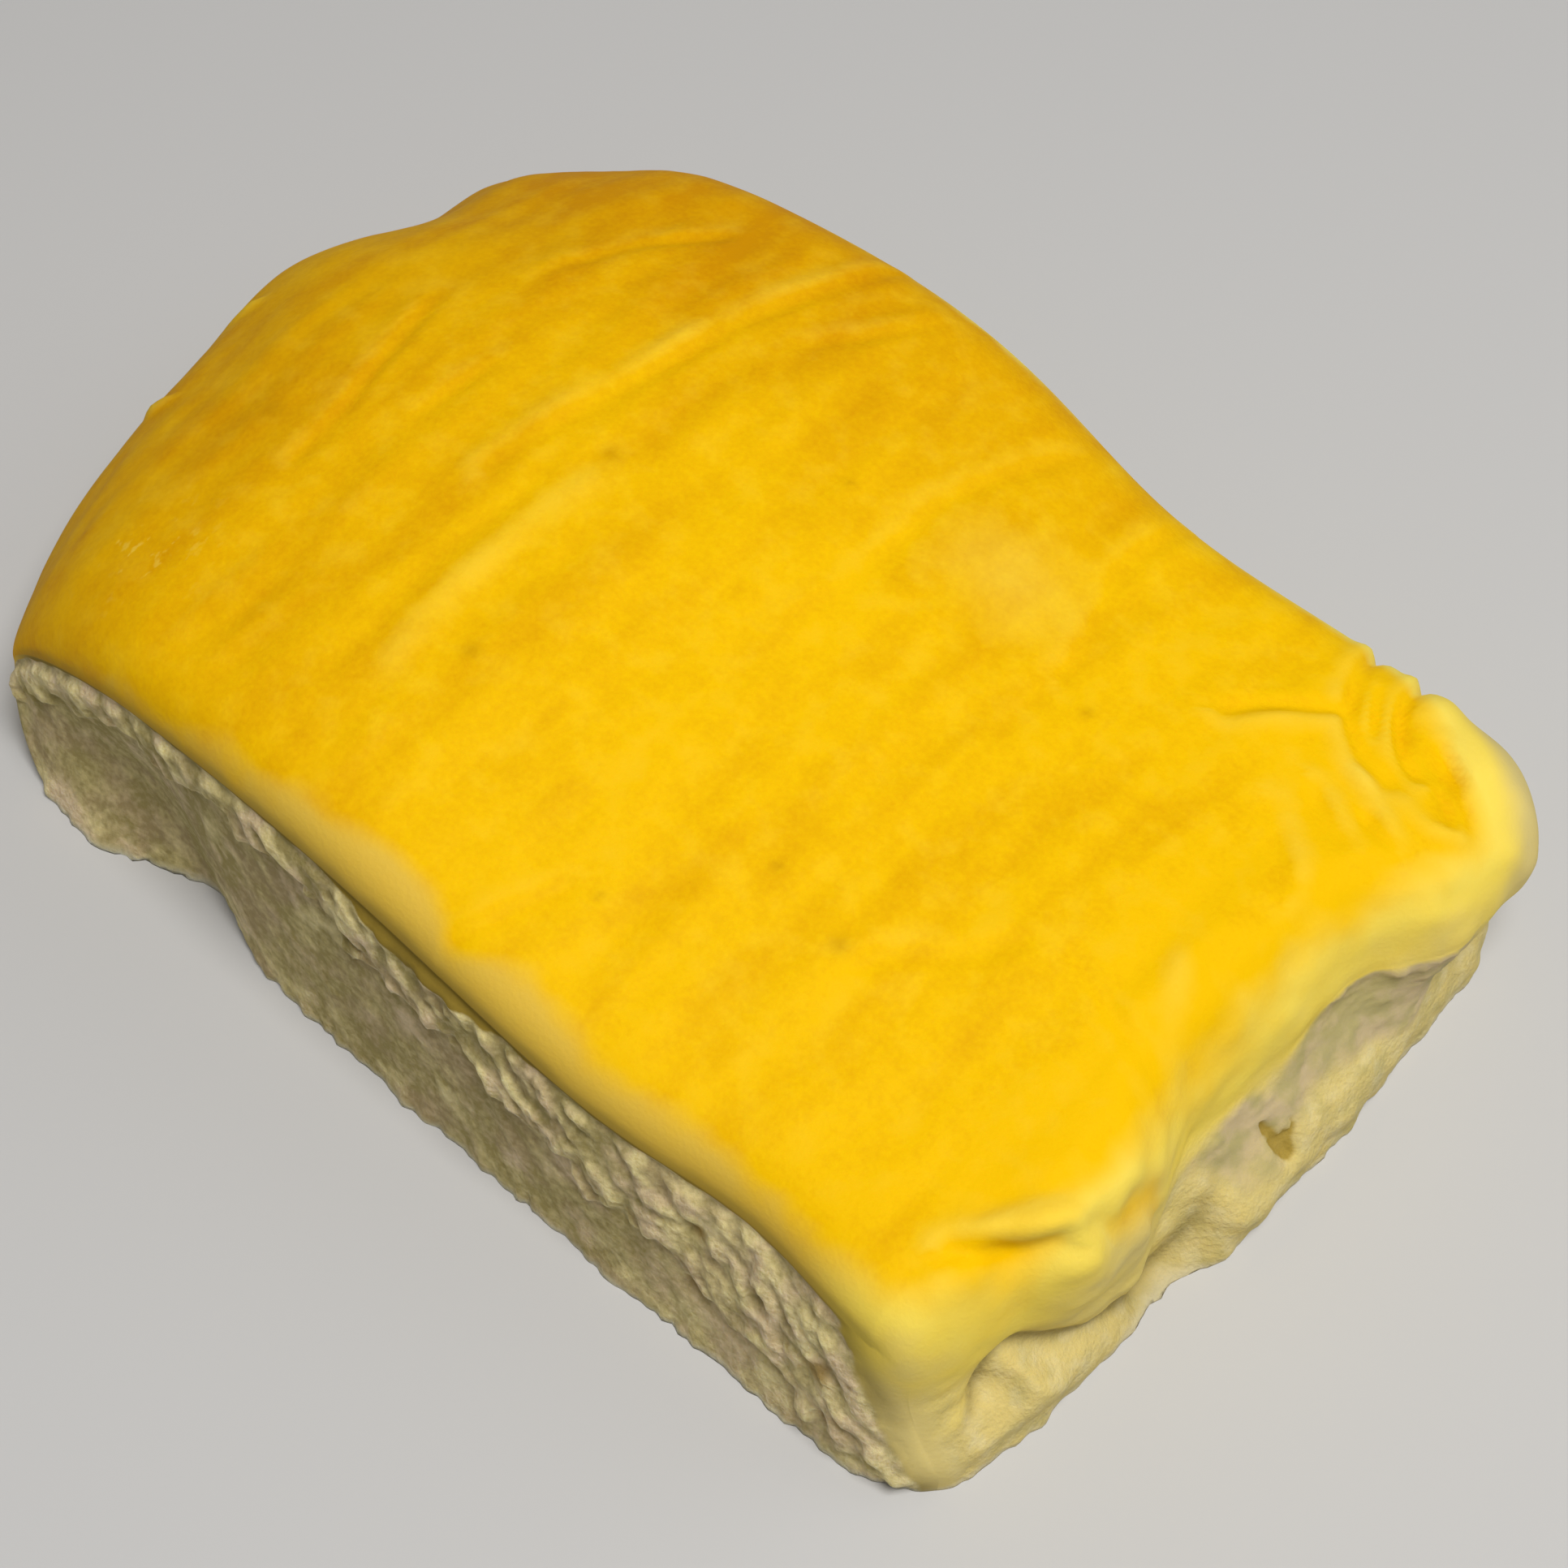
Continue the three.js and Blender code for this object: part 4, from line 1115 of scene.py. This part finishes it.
# %% [markdown]
# ## Floor, light and camera
# A plain pale floor and two large soft lights show the form without stealing the eye. The main light
# hangs high over the open end, so the top and the open end are lit and the torn side lies in half shade.
# A weak fill from the far right keeps the shade readable. The camera stands at the photograph's viewing
# angle, with a slight tilt to the side.

# %% Floor
FLOOR_SIDE = 3.0
FLOOR_PALE = {"Base Color": (0.56, 0.55, 0.535, 1), "Roughness": 0.8}


def pale_floor():
    sheet = bmesh.new()
    bmesh.ops.create_grid(sheet, x_segments=1, y_segments=1, size=FLOOR_SIDE / 2)
    mesh = bpy.data.meshes.new("pale_floor")
    sheet.to_mesh(mesh)
    sheet.free()
    material, shade = empty_material("floor_finish")
    matte = shade.node("ShaderNodeBsdfPrincipled", {}, FLOOR_PALE)
    shade.node("ShaderNodeOutputMaterial", {}, {"Surface": matte})
    mesh.materials.append(material)
    floor = bpy.data.objects.new("pale_floor", mesh)
    bpy.context.scene.collection.objects.link(floor)
    return floor


pale_floor()
print("floor", FLOOR_SIDE, "m square")

# %% Lights
MIDDLE = (0, 0, 0.015)
ROOM_LIGHT = {"Color": (1, 1, 1, 1), "Strength": 0.15}


def soft_light(name, place, side, power):
    light = bpy.data.lights.new(name, "AREA")
    light.shape = "DISK"
    light.size = side
    light.energy = power
    lamp = bpy.data.objects.new(name, light)
    lamp.location = place
    lamp.rotation_euler = (Vector(MIDDLE) - Vector(place)).to_track_quat("-Z", "Y").to_euler()
    bpy.context.scene.collection.objects.link(lamp)


soft_light("main_light", place=(0.24, -0.08, 0.78), side=0.36, power=5.6)
soft_light("fill_light", place=(0.5, 0.6, 0.6), side=0.8, power=1.0)

world = bpy.data.worlds.new("soft_room")
world.use_nodes = True
for socket, value in ROOM_LIGHT.items():
    world.node_tree.nodes["Background"].inputs[socket].default_value = value
bpy.context.scene.world = world
bpy.context.scene.view_settings.view_transform = "Standard"
print("lights:", [light.name for light in bpy.data.lights], "and a pale room")

# %% Camera
VIEW = dict(azimuth=40.0, elevation=57.49, tilt=2.31, distance=299.4, aim=(10.3, -1.1, 13.2))
SENSOR = 36.0
PHOTO_SIDE = 1932
FOCAL_PIXELS = 3809.65
NEAREST = 0.01


def photo_camera():
    data = bpy.data.cameras.new("photo_camera")
    data.sensor_width = SENSOR
    data.lens = SENSOR * FOCAL_PIXELS / PHOTO_SIDE
    data.clip_start = NEAREST
    turn = Matrix.Rotation(math.radians(VIEW["azimuth"]), 4, "Z")
    rise = Matrix.Rotation(math.radians(90 - VIEW["elevation"]), 4, "X")
    tilt = Matrix.Rotation(math.radians(VIEW["tilt"]), 4, "Z")
    back = Matrix.Translation((0, 0, VIEW["distance"] * MM))
    camera = bpy.data.objects.new("photo_camera", data)
    camera.matrix_world = Matrix.Translation(Vector(VIEW["aim"]) * MM) @ turn @ rise @ tilt @ back
    bpy.context.scene.collection.objects.link(camera)
    return camera


bpy.context.scene.camera = photo_camera()
print("camera at", [round(c, 4) for c in bpy.context.scene.camera.matrix_world.translation])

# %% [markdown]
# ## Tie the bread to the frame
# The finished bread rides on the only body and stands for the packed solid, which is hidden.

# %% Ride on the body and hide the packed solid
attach(bread, "root")
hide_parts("bread")
